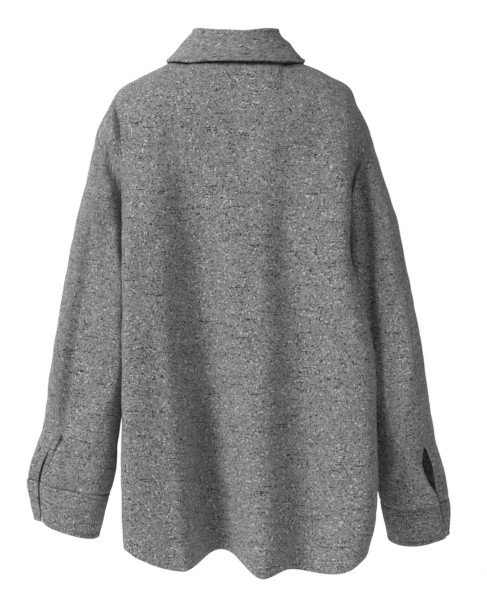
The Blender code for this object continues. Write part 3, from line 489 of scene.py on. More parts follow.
# Photograph
IMAGE_WIDTH, IMAGE_HEIGHT = 487, 600
PIXEL = 0.00147  # metres of the garment to a pixel, at the plane of the shoulders
CENTRE_COLUMN, COLLAR_ROW = 235.5, 54  # where the frame's origin lies in the photograph
CAMERA_DISTANCE = 3.0

# How finely the shells are made
BODY_ROWS, BODY_COLUMNS = 132, 96  # columns across half of a panel
FRONT_COLUMNS = 103  # from past the centre to the side seam
SLEEVE_FINE_ROWS, SLEEVE_FINE_COLUMNS = 110, 132
CUFF_FINE_ROWS = 20
STAND_FINE = 14, 120
FALL_FINE = 56, 150
BINDING_FINE = 30, 5
BINDING_RING = 0.62  # where along the sleeve its girth is measured for the binding's width
BAND_COLUMNS = 10
BAND_SHARE = 0.97  # how much of the solid band's width is filled, clear of its edges
BAND_CLEAR, BAND_CLEAR_FADE = 0.10, 0.12  # across a front, where its creases start and then grow full
BINDING_SHARE = 0.02, 0.98  # how much of a binding's width is filled, clear of its edges

# Buttons' holes and threads, and the worked edges of the buttonholes
HOLE_SPREAD, HOLE_RADIUS = 0.0019, 0.00095
STRAND_SHIFT, STRAND_RADIUS = 0.00022, 0.00028
STRAND_OVER, STRAND_UNDER = 0.0003, 0.0006  # over the button's face, and down in its holes
BUTTONHOLE_LENGTH, BUTTONHOLE_HALF, BUTTONHOLE_CORD = 0.0235, 0.0013, 0.0006
BUTTONHOLE_LIFT = 0.0002
CORD_SIDES, LATHE_SIDES, HOLE_SIDES = 8, 40, 14
SHARP_EDGE = math.radians(38)

# Cloth edges
SEAM_DIP, SEAM_WIDTH = 0.0005, 0.0040
SEAM_SWELL = 0.35, 2.6, 1.6  # its height against the dip, and its place and width against the seam's width
# How far stitching runs from an edge
HEM_STITCH, EDGE_STITCH, STAND_STITCH, BINDING_STITCH = 0.018, 0.0055, 0.003, 0.002
STITCH_DIP, STITCH_WIDTH = 0.0005, 0.0014
STITCH_SWELL = 0.5, 0.45, 0.4  # its height against the dip, and its place and width against the inset
RIM_BULGE = 0.42  # how far a free edge is rounded out, against the thickness
INSIDE_SHIFT = 0.011, 0.007, 0  # how far the weave of the inside lies from the outside's

BODY_LIMITS = (-1, 1), (0, HEM_LEVEL)  # across and level

# Metres for each unit across and down a panel, and for each degree round and unit along a sleeve
BODY_SCALE = 0.22, 1.0
SLEEVE_SCALE = math.radians(0.058), 0.75

# How far on each piece's unevenness starts, and its yarns too where they follow its edges
CLOTH_SHIFT = {
    "back": 0.0,
    "front_left": 0.6,
    "front_right": 0.6,
    "front_band": 1.3,
    "sleeve_left": 2.1,
    "sleeve_right": 3.2,
    "cuff_left": 4.3,
    "cuff_right": 5.1,
    "placket_left": 6.2,
    "placket_right": 6.6,
    "collar_stand": 7.4,
    "collar_fall": 8.3,
}

# Creases: a row for each. Body places are across and level, sleeve places are degrees and along.
CREASES = (
    ("piece", "first_a", "second_a", "first_b", "second_b", "half_width", "depth"),
    ("back", 0.70, 0.20, 0.58, 0.42, 0.016, 0.0020),
    ("back", -0.52, 0.30, -0.50, 0.60, 0.020, 0.0016),
    ("back", 0.30, 0.46, 0.33, 0.72, 0.012, 0.0022),
    ("back", -0.10, 0.44, -0.06, 0.70, 0.014, 0.0014),
    ("back", 0.05, 0.05, 0.30, 0.12, 0.018, 0.0014),
    ("back", -0.20, 0.06, -0.55, 0.10, 0.018, 0.0012),
    ("front_left", 0.84, 0.055, 0.80, 0.135, 0.008, 0.0050),
    ("front_left", 0.62, 0.24, 0.30, 0.30, 0.014, 0.0024),
    ("front_left", 0.40, 0.34, 0.26, 0.62, 0.018, 0.0030),
    ("front_left", 0.66, 0.30, 0.60, 0.66, 0.018, 0.0026),
    ("front_right", -0.84, 0.055, -0.80, 0.135, 0.008, 0.0050),
    ("front_right", -0.60, 0.22, -0.34, 0.29, 0.014, 0.0024),
    ("front_right", -0.34, 0.36, -0.28, 0.66, 0.018, 0.0030),
    ("front_right", -0.64, 0.32, -0.62, 0.60, 0.018, 0.0026),
    ("sleeve_left", 150, 0.420, 140, 0.610, 0.010, 0.0015),
    ("sleeve_left", 95, 0.330, 165, 0.300, 0.006, 0.0022),
    ("sleeve_left", 110, 0.520, 80, 0.660, 0.007, 0.0022),
    ("sleeve_left", 200, 0.250, 300, 0.310, 0.008, 0.0030),
    ("sleeve_left", 205, 0.330, 290, 0.370, 0.008, 0.0026),
    ("sleeve_left", 215, 0.080, 235, 0.240, 0.012, 0.0050),
    ("sleeve_left", 320, 0.150, 300, 0.480, 0.010, 0.0034),
    ("sleeve_right", 50, 0.200, 62, 0.480, 0.009, 0.0024),
    ("sleeve_right", 150, 0.400, 130, 0.600, 0.010, 0.0015),
    ("sleeve_right", 95, 0.360, 160, 0.330, 0.006, 0.0020),
    ("sleeve_right", 112, 0.640, 88, 0.560, 0.007, 0.0026),
    ("sleeve_right", 200, 0.270, 295, 0.320, 0.008, 0.0030),
    ("sleeve_right", 210, 0.350, 290, 0.390, 0.008, 0.0024),
    ("sleeve_right", 215, 0.080, 232, 0.250, 0.012, 0.0050),
    ("sleeve_right", 318, 0.160, 300, 0.470, 0.010, 0.0034),
)
RIDGE = 0.38  # the swell beside a crease, against its depth
RIDGE_PLACE = 1.9  # how far beside the crease it lies, against its half-width
CREASE_FADE = 0.8  # how soon a crease fades towards its ends
CREASE_BEND = 0.10  # how far a crease bows out in its middle, against its length

# Soft hollows and swellings that run down the cloth and across its seams. Each has a name, the pieces
# that it shapes, and rows down it in millimetres: height, place across, reach to +X, reach to -X, depth.
HOLLOWS = (
    ("trough_left", ("back",), (
        (-91, 85.5, 21.6, 72, 0), (-131, 81.2, 21.6, 72, 4), (-174, 75.4, 20.2, 72, 8),
        (-232, 69.6, 18.7, 64.8, 10), (-290, 65.3, 18.7, 57.6, 11), (-347, 66.8, 18.7, 46.1, 12),
        (-405, 63.9, 18.7, 40.3, 13), (-462, 61, 18.7, 40.3, 14.5), (-520, 56.7, 17.3, 40.3, 16.5),
        (-578, 52.3, 17.3, 40.3, 18), (-621, 49.5, 17.3, 40.3, 18.5), (-693, 39.4, 15.8, 40.3, 17),
        (-743, 35.1, 15.8, 43.2, 13), (-794, 32.2, 15.8, 43.2, 12),
    )),
    ("trough_right", ("back",), (
        (-73, -78.7, 18.7, 57.6, 0), (-117, -78.7, 18.7, 57.6, 1.5), (-174, -77.3, 18.7, 57.6, 3),
        (-232, -70.1, 18.7, 57.6, 4), (-290, -70.1, 18.7, 57.6, 7), (-347, -74.4, 18.7, 57.6, 10),
        (-405, -75.9, 18.7, 57.6, 12.5), (-462, -75.9, 18.7, 57.6, 14), (-520, -75.9, 18.7, 57.6, 15.5),
        (-578, -80.2, 18.7, 57.6, 17), (-635, -83.1, 18.7, 57.6, 16), (-693, -88.8, 20.2, 57.6, 15),
        (-794, -96, 20.2, 57.6, 9),
    )),
    ("strip_left", ("back",), (
        (-254, 101.3, 36, 86.4, 0), (-347, 101.3, 37.4, 86.4, 6), (-462, 99.9, 40.3, 86.4, 9),
        (-578, 97, 40.3, 86.4, 11), (-693, 91.2, 40.3, 86.4, 10), (-794, 91.2, 40.3, 86.4, 7),
    )),
    ("dip_left", ("back",), (
        (-390, 120.1, 10.1, 17.3, 0), (-448, 118.6, 10.1, 17.3, 2.4), (-506, 114.3, 10.1, 17.3, 1.6),
        (-549, 111.4, 10.1, 17.3, 0),
    )),
    ("flare_right", ("back",), (
        (-398, -185.4, 34.6, 43.2, 0), (-462, -188.2, 34.6, 43.2, 10), (-578, -182.5, 37.4, 51.8, 11),
        (-693, -185.4, 37.4, 51.8, 10), (-794, -188.2, 37.4, 51.8, 9),
    )),
    ("edge_right", ("back",), (
        (-62, -160.9, 20.2, 4.3, 0), (-88, -162.3, 23, 4.3, -5), (-117, -163.7, 25.9, 4.3, -8),
        (-174, -163.7, 28.8, 4.3, -10), (-232, -163.7, 28.8, 4.3, -12), (-290, -163.7, 28.8, 4.3, -9),
        (-326, -166.6, 25.9, 5.8, -4), (-362, -176.7, 23, 7.2, 0),
    )),
    ("roll_right", ("back",), (
        (-146, -170.9, 5.8, 8.6, 6), (-174, -171.7, 6.5, 8.6, 12), (-232, -172.4, 7.2, 11.5, 18),
        (-290, -172.4, 7.2, 14.4, 26), (-318, -178.1, 10.1, 17.3, 30), (-347, -188.2, 11.5, 17.3, 34),
        (-376, -199.8, 14.4, 17.3, 32), (-405, -207, 15.8, 17.3, 32), (-462, -211.3, 11.5, 17.3, 36),
        (-520, -211.3, 11.5, 17.3, 38), (-578, -214.2, 11.5, 17.3, 38), (-621, -215.6, 11.5, 17.3, 34),
        (-671, -217, 11.5, 17.3, 20), (-707, -218.5, 11.5, 17.3, 0),
    )),
    ("valley_right", ("back", "front_right", "sleeve_right"), (
        (-71, -169.5, 4.3, 11.5, 2), (-99, -172.4, 5, 14.4, 8), (-131, -173.8, 5, 15.8, 9),
        (-167, -176.7, 5, 11.5, 9), (-218, -181, 5.8, 13, 13), (-275, -186.8, 7.2, 11.5, 14),
        (-347, -192.6, 8.6, 7.2, 15), (-405, -195.4, 5.8, 5.8, 10), (-448, -202.6, 4.3, 4.3, 0),
    )),
    ("tilt_right", ("sleeve_right",), (
        (-174, -196.9, 17.3, 57.6, 0), (-232, -219.9, 20.2, 57.6, -3), (-290, -231.5, 25.9, 57.6, -4),
        (-405, -254.5, 34.6, 57.6, -7), (-520, -277.6, 40.3, 57.6, -9), (-607, -289.1, 40.3, 57.6, -9),
        (-736, -289.1, 40.3, 57.6, 0),
    )),
    ("swell_right", ("sleeve_right",), (
        (-333, -202.6, 7.2, 57.6, 0), (-405, -209.8, 7.2, 72, -6), (-520, -215.6, 7.2, 72, -12),
        (-621, -221.4, 8.6, 72, -12), (-693, -225.7, 8.6, 72, -8), (-736, -228.6, 8.6, 72, 0),
    )),
    ("shoulder_left", ("back", "front_left", "sleeve_left"), (
        (-59, 176.2, 5, 10.1, 0), (-85, 171.9, 5.8, 10.1, 18), (-114, 166.2, 6.5, 10.1, 26),
        (-141, 162.6, 6.5, 8.6, 20), (-174, 161.8, 5.8, 7.2, 8), (-203, 161.8, 5.8, 7.2, 0),
    )),
    ("wedge_left", ("back", "sleeve_left"), (
        (-128, 190.6, 7.2, 13, 0), (-151, 182, 7.2, 13, 10), (-177, 174.8, 8.6, 13, 16),
        (-200, 167.6, 8.6, 13, 16), (-222, 163.3, 8.6, 8.6, 16), (-254, 160.4, 7.2, 5.8, 11),
        (-290, 160.4, 5.8, 5.8, 5), (-326, 160.4, 5.8, 5.8, 0),
    )),
    ("swell_left", ("sleeve_left", "cuff_left"), (
        (-249, 166.2, 17.3, 17.3, 0), (-282, 154.6, 23, 17.3, -14), (-347, 154.6, 23, 17.3, -20),
        (-434, 154.6, 23, 17.3, -20), (-484, 160.4, 23, 17.3, -17), (-527, 169, 30.2, 17.3, -21),
        (-578, 173.4, 34.6, 17.3, -25), (-635, 179.1, 37.4, 17.3, -22), (-693, 186.3, 37.4, 17.3, -12),
        (-751, 189.2, 34.6, 17.3, -8),
    )),
    ("trough_sleeve", ("sleeve_left",), (
        (-249, 206.5, 11.5, 20.2, 0), (-290, 210.8, 13, 20.2, 7), (-347, 216.6, 13, 20.2, 10),
        (-405, 226.7, 14.4, 23, 12), (-462, 233.9, 14.4, 23, 16), (-520, 239.6, 14.4, 25.9, 17),
        (-563, 245.4, 13, 23, 8), (-592, 249.7, 11.5, 20.2, 0),
    )),
)

# Slow unevenness of the cloth: wavelengths across and down, and how far it moves. Pieces shorter than
# UNEVEN_LENGTH have less of it.
UNEVEN_LENGTH = 0.10
UNEVEN = (
    ("across", "down", "phase", "amount"),
    (0.090, 0.210, 0.3, 0.00075),
    (0.053, 0.340, 1.9, 0.00045),
    (0.140, 0.085, 4.1, 0.00040),
    (0.036, 0.120, 2.6, 0.00022),
)

# How the slits of the sleeves close: how far their back and front edges move to +X at each place along,
# and how far in the front edge is tucked
SLIT_CLOSING_LEFT = (
    ("along", "back", "front", "tuck"),
    (0.500, 0.0000, 0.0000, 0.0000),
    (0.545, -0.0043, -0.0043, 0.0000),
    (0.560, -0.0058, -0.0058, 0.0000),
    (0.575, -0.0050, -0.0050, 0.0010),
    (0.590, -0.0043, -0.0058, 0.0020),
    (0.620, -0.0065, -0.0101, 0.0030),
    (0.650, -0.0058, -0.0112, 0.0030),
    (0.680, -0.0058, -0.0120, 0.0030),
    (0.700, -0.0058, -0.0120, 0.0030),
    (0.730, -0.0050, -0.0094, 0.0030),
    (0.770, -0.0043, -0.0058, 0.0030),
)
SLIT_CLOSING_RIGHT = (
    ("along", "back", "front", "tuck"),
    (0.500, 0.0000, 0.0000, 0.0000),
    (0.540, 0.0029, 0.0029, 0.0000),
    (0.555, 0.0043, 0.0043, 0.0000),
    (0.570, 0.0065, 0.0022, 0.0000),
    (0.590, 0.0065, 0.0022, 0.0000),
    (0.605, 0.0029, 0.0029, 0.0005),
    (0.620, -0.0014, 0.0050, 0.0015),
    (0.650, -0.0058, 0.0086, 0.0060),
    (0.680, -0.0036, 0.0079, 0.0080),
    (0.700, -0.0022, 0.0079, 0.0080),
    (0.730, -0.0043, 0.0050, 0.0080),
    (0.770, -0.0065, 0.0022, 0.0080),
)
CLOSING_REACH, FLAP_REACH = 0.09, 0.040  # how far round from the back and the front edge that is felt

# Beside the neck the fall is drawn in at its fold, let out below and lowered: places along it, and moves
FALL_OUT = (1.0, 2.0, 2.45, 3.0), (0.0, -0.0036, 0.0030, 0.0)
FALL_DOWN = (2.2, 3.0), (0.0, 0.0044)
BESIDE_X, BESIDE_FADE_X = 0.035, 0.045  # out from the centre, and back from the front, where that starts
BESIDE_Y, BESIDE_FADE_Y = -0.06, 0.05

AMBIENT = 0.07  # the soft light from all round
BACKGROUND = 1.0  # the studio behind, as the camera sees it
FLOOR_Z, FLOOR_RADIUS = -1.02, 1.45

# Lights: a row for each, with its bearing from +Y towards +X and its height above level, in degrees
LIGHTS = (
    ("name", "bearing", "height", "distance", "size", "watts"),
    ("key", 50, 26, 5.0, 2.0, 212),
    ("top", -20, 58, 3.0, 1.8, 22),
    ("fill", -58, -18, 2.0, 1.2, 6.5),
    ("front_key", 140, 24, 3.2, 1.3, 60),
    ("front_fill", -145, 8, 3.4, 2.2, 22),
)


def set_camera():
    """The photograph's view, from straight behind. Gives the height that it looks at."""
    centre_x = (CENTRE_COLUMN - IMAGE_WIDTH / 2) * PIXEL
    centre_z = (COLLAR_ROW - IMAGE_HEIGHT / 2) * PIXEL
    data = bpy.data.cameras.new("camera")
    data.sensor_fit = "VERTICAL"
    data.sensor_height = 24
    data.lens = data.sensor_height * CAMERA_DISTANCE / (IMAGE_HEIGHT * PIXEL)
    camera = bpy.data.objects.new("camera", data)
    camera.location = (centre_x, CAMERA_DISTANCE, centre_z)
    camera.rotation_euler = (math.pi / 2, 0, math.pi)
    bpy.context.scene.collection.objects.link(camera)
    bpy.context.scene.camera = camera
    return centre_z


def set_lights(target_z):
    target = Vector((0, 0, target_z))
    for name, bearing, height, distance, size, watts in LIGHTS[1:]:
        data = bpy.data.lights.new(name, "AREA")
        data.size = size
        data.energy = watts
        light = bpy.data.objects.new(name, data)
        turn, above = math.radians(bearing), math.radians(height)
        level = math.cos(above)
        way = Vector((math.sin(turn) * level, math.cos(turn) * level, math.sin(above)))
        light.location = target + way * distance
        light.rotation_euler = (-way).to_track_quat("-Z", "Y").to_euler()
        bpy.context.scene.collection.objects.link(light)


def set_world():
    """Soft light from all round, and a white studio where the camera looks past the garment."""
    world = bpy.data.worlds.new("studio")
    world.use_nodes = True
    tree = world.node_tree
    around = tree.nodes["Background"]
    behind = tree.nodes.new("ShaderNodeBackground")
    for light, strength in ((around, AMBIENT), (behind, BACKGROUND)):
        light.inputs["Color"].default_value = (1, 1, 1, 1)
        light.inputs["Strength"].default_value = strength
    seen = tree.nodes.new("ShaderNodeLightPath").outputs["Is Camera Ray"]
    both = tree.nodes.new("ShaderNodeMixShader")
    for output, socket in zip((seen, around.outputs[0], behind.outputs[0]), both.inputs):
        tree.links.new(output, socket)
    tree.links.new(both.outputs[0], tree.nodes["World Output"].inputs["Surface"])
    bpy.context.scene.world = world
    bpy.context.scene.view_settings.view_transform = "Standard"


# Tweed. Shares are of all the places where a slub can be.
YARN_PITCH = 0.0011  # metres from one crossing of the yarns to the next
YARN_WANDER = 0.0003  # how far a yarn strays from its line
YARN_DARK, YARN_LIGHT = (0.022, 0.022, 0.023), (0.500, 0.500, 0.494)
YARN_SHADE = (0.120, 0.120, 0.118)
SLUB_PITCH = 0.0014  # metres across a slub
SLUB_BLACK, SLUB_CREAM = (0.012, 0.012, 0.014), (0.660, 0.650, 0.610)
BLACK_SHARE, CREAM_SHARE, RUN_SHARE = 0.018, 0.012, 0.035
SLUB_LENGTH, RUN_LENGTH = 2, 14  # in slub pitches
SLUB_STAGGER = 0.618  # how far the slubs of a yarn are shifted against the next one's, in slubs
THREAD = (0.090, 0.090, 0.090)
STITCH_LENGTH = 0.0034

# Buttons and their thread
HORN_DARK, HORN_LIGHT = (0.030, 0.026, 0.023), (0.150, 0.135, 0.120)
TWIST_DARK, TWIST_LIGHT = (0.05, 0.05, 0.05), (0.16, 0.16, 0.155)

FLOOR_DARK, FLOOR_LIGHT = (0.90, 0.90, 0.90), (0.93, 0.93, 0.93)


class Nodes:
    """Short names for building a material's nodes."""

    def __init__(self, name):
        self.material = bpy.data.materials.new(name)
        self.material.use_nodes = True
        self.tree = self.material.node_tree
        self.shader = self.tree.nodes["Principled BSDF"]

    def node(self, kind, **settings):
        made = self.tree.nodes.new("ShaderNode" + kind)
        for name, value in settings.items():
            setattr(made, name, value)
        return made

    def link(self, values, sockets):
        for value, socket in zip(values, sockets):
            if isinstance(value, bpy.types.NodeSocket):
                self.tree.links.new(value, socket)
            else:
                socket.default_value = value

    def shade(self, **values):
        """Fills in the shader's inputs, by their names with _ for a space."""
        self.link(values.values(), [self.shader.inputs[name.replace("_", " ")] for name in values])
        return self.material

    def attribute(self, name):
        return self.node("Attribute", attribute_name=name).outputs["Vector"]

    def place(self):
        return self.node("TexCoord").outputs["Object"]

    def math(self, operation, a, b=0.0, clamp=False):
        node = self.node("Math", operation=operation, use_clamp=clamp)
        self.link((a, b), node.inputs)
        return node.outputs[0]

    def plus(self, a, b, clamp=False):
        return self.math("ADD", a, b, clamp)

    def times(self, a, b):
        return self.math("MULTIPLY", a, b)

    def larger(self, a, b):
        return self.math("MAXIMUM", a, b)

    def scaled(self, vector, factors, shift=(0, 0, 0)):
        node = self.node("VectorMath", operation="MULTIPLY_ADD")
        self.link((vector, factors, shift), node.inputs)
        return node.outputs[0]

    def floored(self, vector):
        node = self.node("VectorMath", operation="FLOOR")
        self.link([vector], node.inputs)
        return node.outputs[0]

    def noise(self, vector, detail=2.0, roughness=0.5):
        node = self.node("TexNoise")
        names = ("Vector", "Scale", "Detail", "Roughness")
        self.link((vector, 1.0, detail, roughness), [node.inputs[name] for name in names])
        return node.outputs["Fac"]

    def white(self, vector):
        node = self.node("TexWhiteNoise")
        self.link([vector], [node.inputs["Vector"]])
        return node.outputs["Value"]

    def split(self, vector):
        node = self.node("SeparateXYZ")
        self.link([vector], node.inputs)
        return node.outputs

    def flecks(self, places, axis, length, seed, share):
        """One on a share of the short runs of a yarn along an axis, and nothing elsewhere."""
        yarn = self.split(self.floored(places))["Y" if axis == "X" else "X"]
        along = self.math("DIVIDE", self.split(places)[axis], length)
        along = self.math("FLOOR", self.plus(along, self.times(yarn, SLUB_STAGGER)))
        node = self.node("CombineXYZ")
        self.link((along, yarn, seed), node.inputs)
        return self.math("GREATER_THAN", self.white(node.outputs[0]), 1 - share)

    def range(self, value, low, high, to_low=0.0, to_high=1.0):
        node = self.node("MapRange", interpolation_type="SMOOTHSTEP")
        names = ("Value", "From Min", "From Max", "To Min", "To Max")
        self.link((value, low, high, to_low, to_high), [node.inputs[name] for name in names])
        return node.outputs["Result"]

    def mix(self, factor, *colours):
        node = self.node("Mix", data_type="RGBA")
        colours = [(*colour, 1.0) if isinstance(colour, tuple) else colour for colour in colours]
        self.link((factor, *colours), [node.inputs[name] for name in ("Factor", "A", "B")])
        return node.outputs["Result"]

    def bump(self, height, distance, strength):
        node = self.node("Bump")
        names = ("Height", "Distance", "Strength")
        self.link((height, distance, strength), [node.inputs[name] for name in names])
        return node.outputs["Normal"]


def yarn_colour(n, weave, cells, crossing):
    """The greys of the yarns: one at each crossing, with heather, cloudy patches and darker bars."""
    float_weft = n.white(n.floored(n.scaled(cells, (0.5, 1, 0), (0.3, 0.5, 7))))
    weft = n.noise(n.scaled(weave, (110, 620, 1)), roughness=0.6)
    warp = n.noise(n.scaled(weave, (620, 120, 1), (31, 7, 3)), roughness=0.6)
    yarn = n.plus(n.times(weft, 0.5), n.times(warp, 0.5))
    heather = n.range(yarn, 0.36, 0.64, -0.09, 0.09)
    shade = n.plus(n.times(crossing, 0.75), n.times(float_weft, 0.25))
    grey = n.mix(n.plus(shade, heather, clamp=True), YARN_DARK, YARN_LIGHT)
    cloud = n.noise(n.scaled(weave, (26, 40, 1), (3, 17, 1)), detail=3.0, roughness=0.55)
    grey = n.mix(n.range(cloud, 0.25, 0.75, 0.24, 0.0), grey, YARN_SHADE)
    bars = n.noise(n.scaled(weave, (9, 520, 1), (13, 2, 5)), detail=1.0)
    return n.mix(n.range(bars, 0.60, 0.78, 0.0, 0.40), grey, YARN_SHADE)


def short_slubs(n, slubs, share, seeds):
    """Slubs of one colour along both yarns."""
    return n.larger(*(n.flecks(slubs, axis, SLUB_LENGTH, seed, share) for axis, seed in zip("XY", seeds)))


def black_slubs(n, slubs):
    """Short black slubs, and longer broken runs across the cloth."""
    runs = n.times(n.flecks(slubs, "X", RUN_LENGTH, 31, RUN_SHARE), n.flecks(slubs, "X", 1, 5, 0.5))
    return n.larger(short_slubs(n, slubs, BLACK_SHARE, (11, 23)), runs)


def stitch_dashes(n):
    """One on the stitches of the sewn lines that the cloth's points know of, and nothing elsewhere."""
    sewn = n.split(n.attribute("sewn"))
    off = n.math("ABSOLUTE", n.math("SUBTRACT", sewn["Y"], sewn["Z"]))
    dash = n.range(n.math("SINE", n.times(sewn["X"], 2 * math.pi / STITCH_LENGTH)), -0.6, -0.2)
    return n.times(n.range(off, 0.0004, 0.0010, 1.0, 0.0), dash)


def tweed_material():
    """Mottled grey tweed: each crossing of its uneven yarns has a shade, with black and cream slubs."""
    n = Nodes("tweed_cloth")
    weave = n.attribute("weave")
    wander = n.math("SUBTRACT", n.noise(n.scaled(weave, (60, 60, 1), (2, 8, 4))), 0.5)
    bent = n.scaled(wander, (YARN_WANDER, YARN_WANDER, 0), weave)
    cells, slubs = (n.scaled(bent, (1 / pitch, 1 / pitch, 0)) for pitch in (YARN_PITCH, SLUB_PITCH))
    crossing = n.white(n.floored(cells))
    cream, stitch = short_slubs(n, slubs, CREAM_SHARE, (47, 59)), stitch_dashes(n)
    colour = yarn_colour(n, weave, cells, crossing)
    colour = n.mix(n.times(black_slubs(n, slubs), 0.88), colour, SLUB_BLACK)
    colour = n.mix(n.times(cream, 0.90), colour, SLUB_CREAM)
    colour = n.mix(n.times(stitch, 0.7), colour, THREAD)
    rounds = (n.math("ABSOLUTE", n.math("SINE", n.times(n.split(cells)[axis], math.pi))) for axis in "XY")
    lumps = n.times(n.times(*rounds), n.plus(crossing, 0.5))
    lumps = n.plus(n.plus(lumps, n.times(cream, 0.5)), n.times(stitch, 0.6))
    return n.shade(
        Base_Color=colour,
        Roughness=0.92,
        Specular_IOR_Level=0.18,
        Sheen_Weight=0.16,
        Sheen_Roughness=0.55,
        Sheen_Tint=(0.80, 0.80, 0.78, 1.0),
        Normal=n.bump(lumps, 0.0005, 0.35),
    )


def horn_material():
    n = Nodes("horn_resin")
    cloud = n.noise(n.scaled(n.place(), (90, 90, 260)), detail=4.0, roughness=0.6)
    scratches = n.noise(n.scaled(n.place(), (900, 2400, 900)))
    return n.shade(
        Base_Color=n.mix(n.range(cloud, 0.32, 0.68), HORN_DARK, HORN_LIGHT),
        Roughness=n.range(cloud, 0.3, 0.7, 0.26, 0.38),
        Normal=n.bump(scratches, 0.00006, 0.4),
    )


def thread_material():
    n = Nodes("sewing_thread")
    ply = n.noise(n.scaled(n.place(), (2600, 2600, 2600)), detail=1.0)
    twist = n.mix(ply, TWIST_DARK, TWIST_LIGHT)
    return n.shade(Base_Color=twist, Roughness=0.7, Normal=n.bump(ply, 0.00015, 0.6))


def floor_material():
    n = Nodes("studio_floor")
    patch = n.noise(n.scaled(n.place(), (0.6, 0.6, 0.6)), detail=1.0)
    return n.shade(Base_Color=n.mix(patch, FLOOR_DARK, FLOOR_LIGHT), Roughness=0.9)


def arc(points, axis):
    steps = np.linalg.norm(np.diff(points, axis=axis), axis=-1)
    start = np.zeros_like(np.take(steps, [0], axis=axis))
    return np.concatenate([start, np.cumsum(steps, axis=axis)], axis=axis)


def crease_depth(name, first, second, scale):
    """How far the creases of a piece press it in, and swell it beside them."""
    total = np.zeros_like(first)
    for piece, first_a, second_a, first_b, second_b, width, depth in CREASES[1:]:
        if piece != name:
            continue
        px, py = (first - first_a) * scale[0], (second - second_a) * scale[1]
        wx, wy = (first_b - first_a) * scale[0], (second_b - second_a) * scale[1]
        length = math.hypot(wx, wy)
        arch = np.sin(math.pi * np.clip((px * wx + py * wy) / length**2, 0, 1))
        off = (px * wy - py * wx) / length + CREASE_BEND * length * arch
        press = near_edge(off, 0, width)
        swell = near_edge(np.abs(off), RIDGE_PLACE * width, width)
        total = total + depth * arch**CREASE_FADE * (press - RIDGE * swell)
    return total


def unevenness(u, v):
    total = np.zeros_like(u)
    for across, down, phase, amount in UNEVEN[1:]:
        turn = 2 * math.pi * (u / across + 0.35 * np.sin(2 * math.pi * v / down + phase))
        total = total + amount * np.sin(turn + phase) * np.cos(2 * math.pi * v / down + 1.7 * phase)
    return total


def hollow_press(name, points):
    """How far the hollows press a piece in from the back, and from the front on its front side."""
    total = np.zeros(points.shape[:-1])
    for _, pieces, rows in HOLLOWS:
        if name not in pieces:
            continue
        rows = np.array(rows)[::-1] / 1000
        z = points[..., 2]
        x, near, far, depth = (through(rows[:, 0], rows[:, k], z) for k in (1, 2, 3, 4))
        off = points[..., 0] - x
        inside = (z > rows[0, 0]) & (z < rows[-1, 0])
        total += np.where(inside, depth * np.exp(-((off / np.where(off > 0, near, far)) ** 2)), 0)
    return total * soft_step(np.abs(points[..., 1]) / 0.03)


def near_edge(distance, centre, width):
    return np.exp(-(((distance - centre) / width) ** 2))


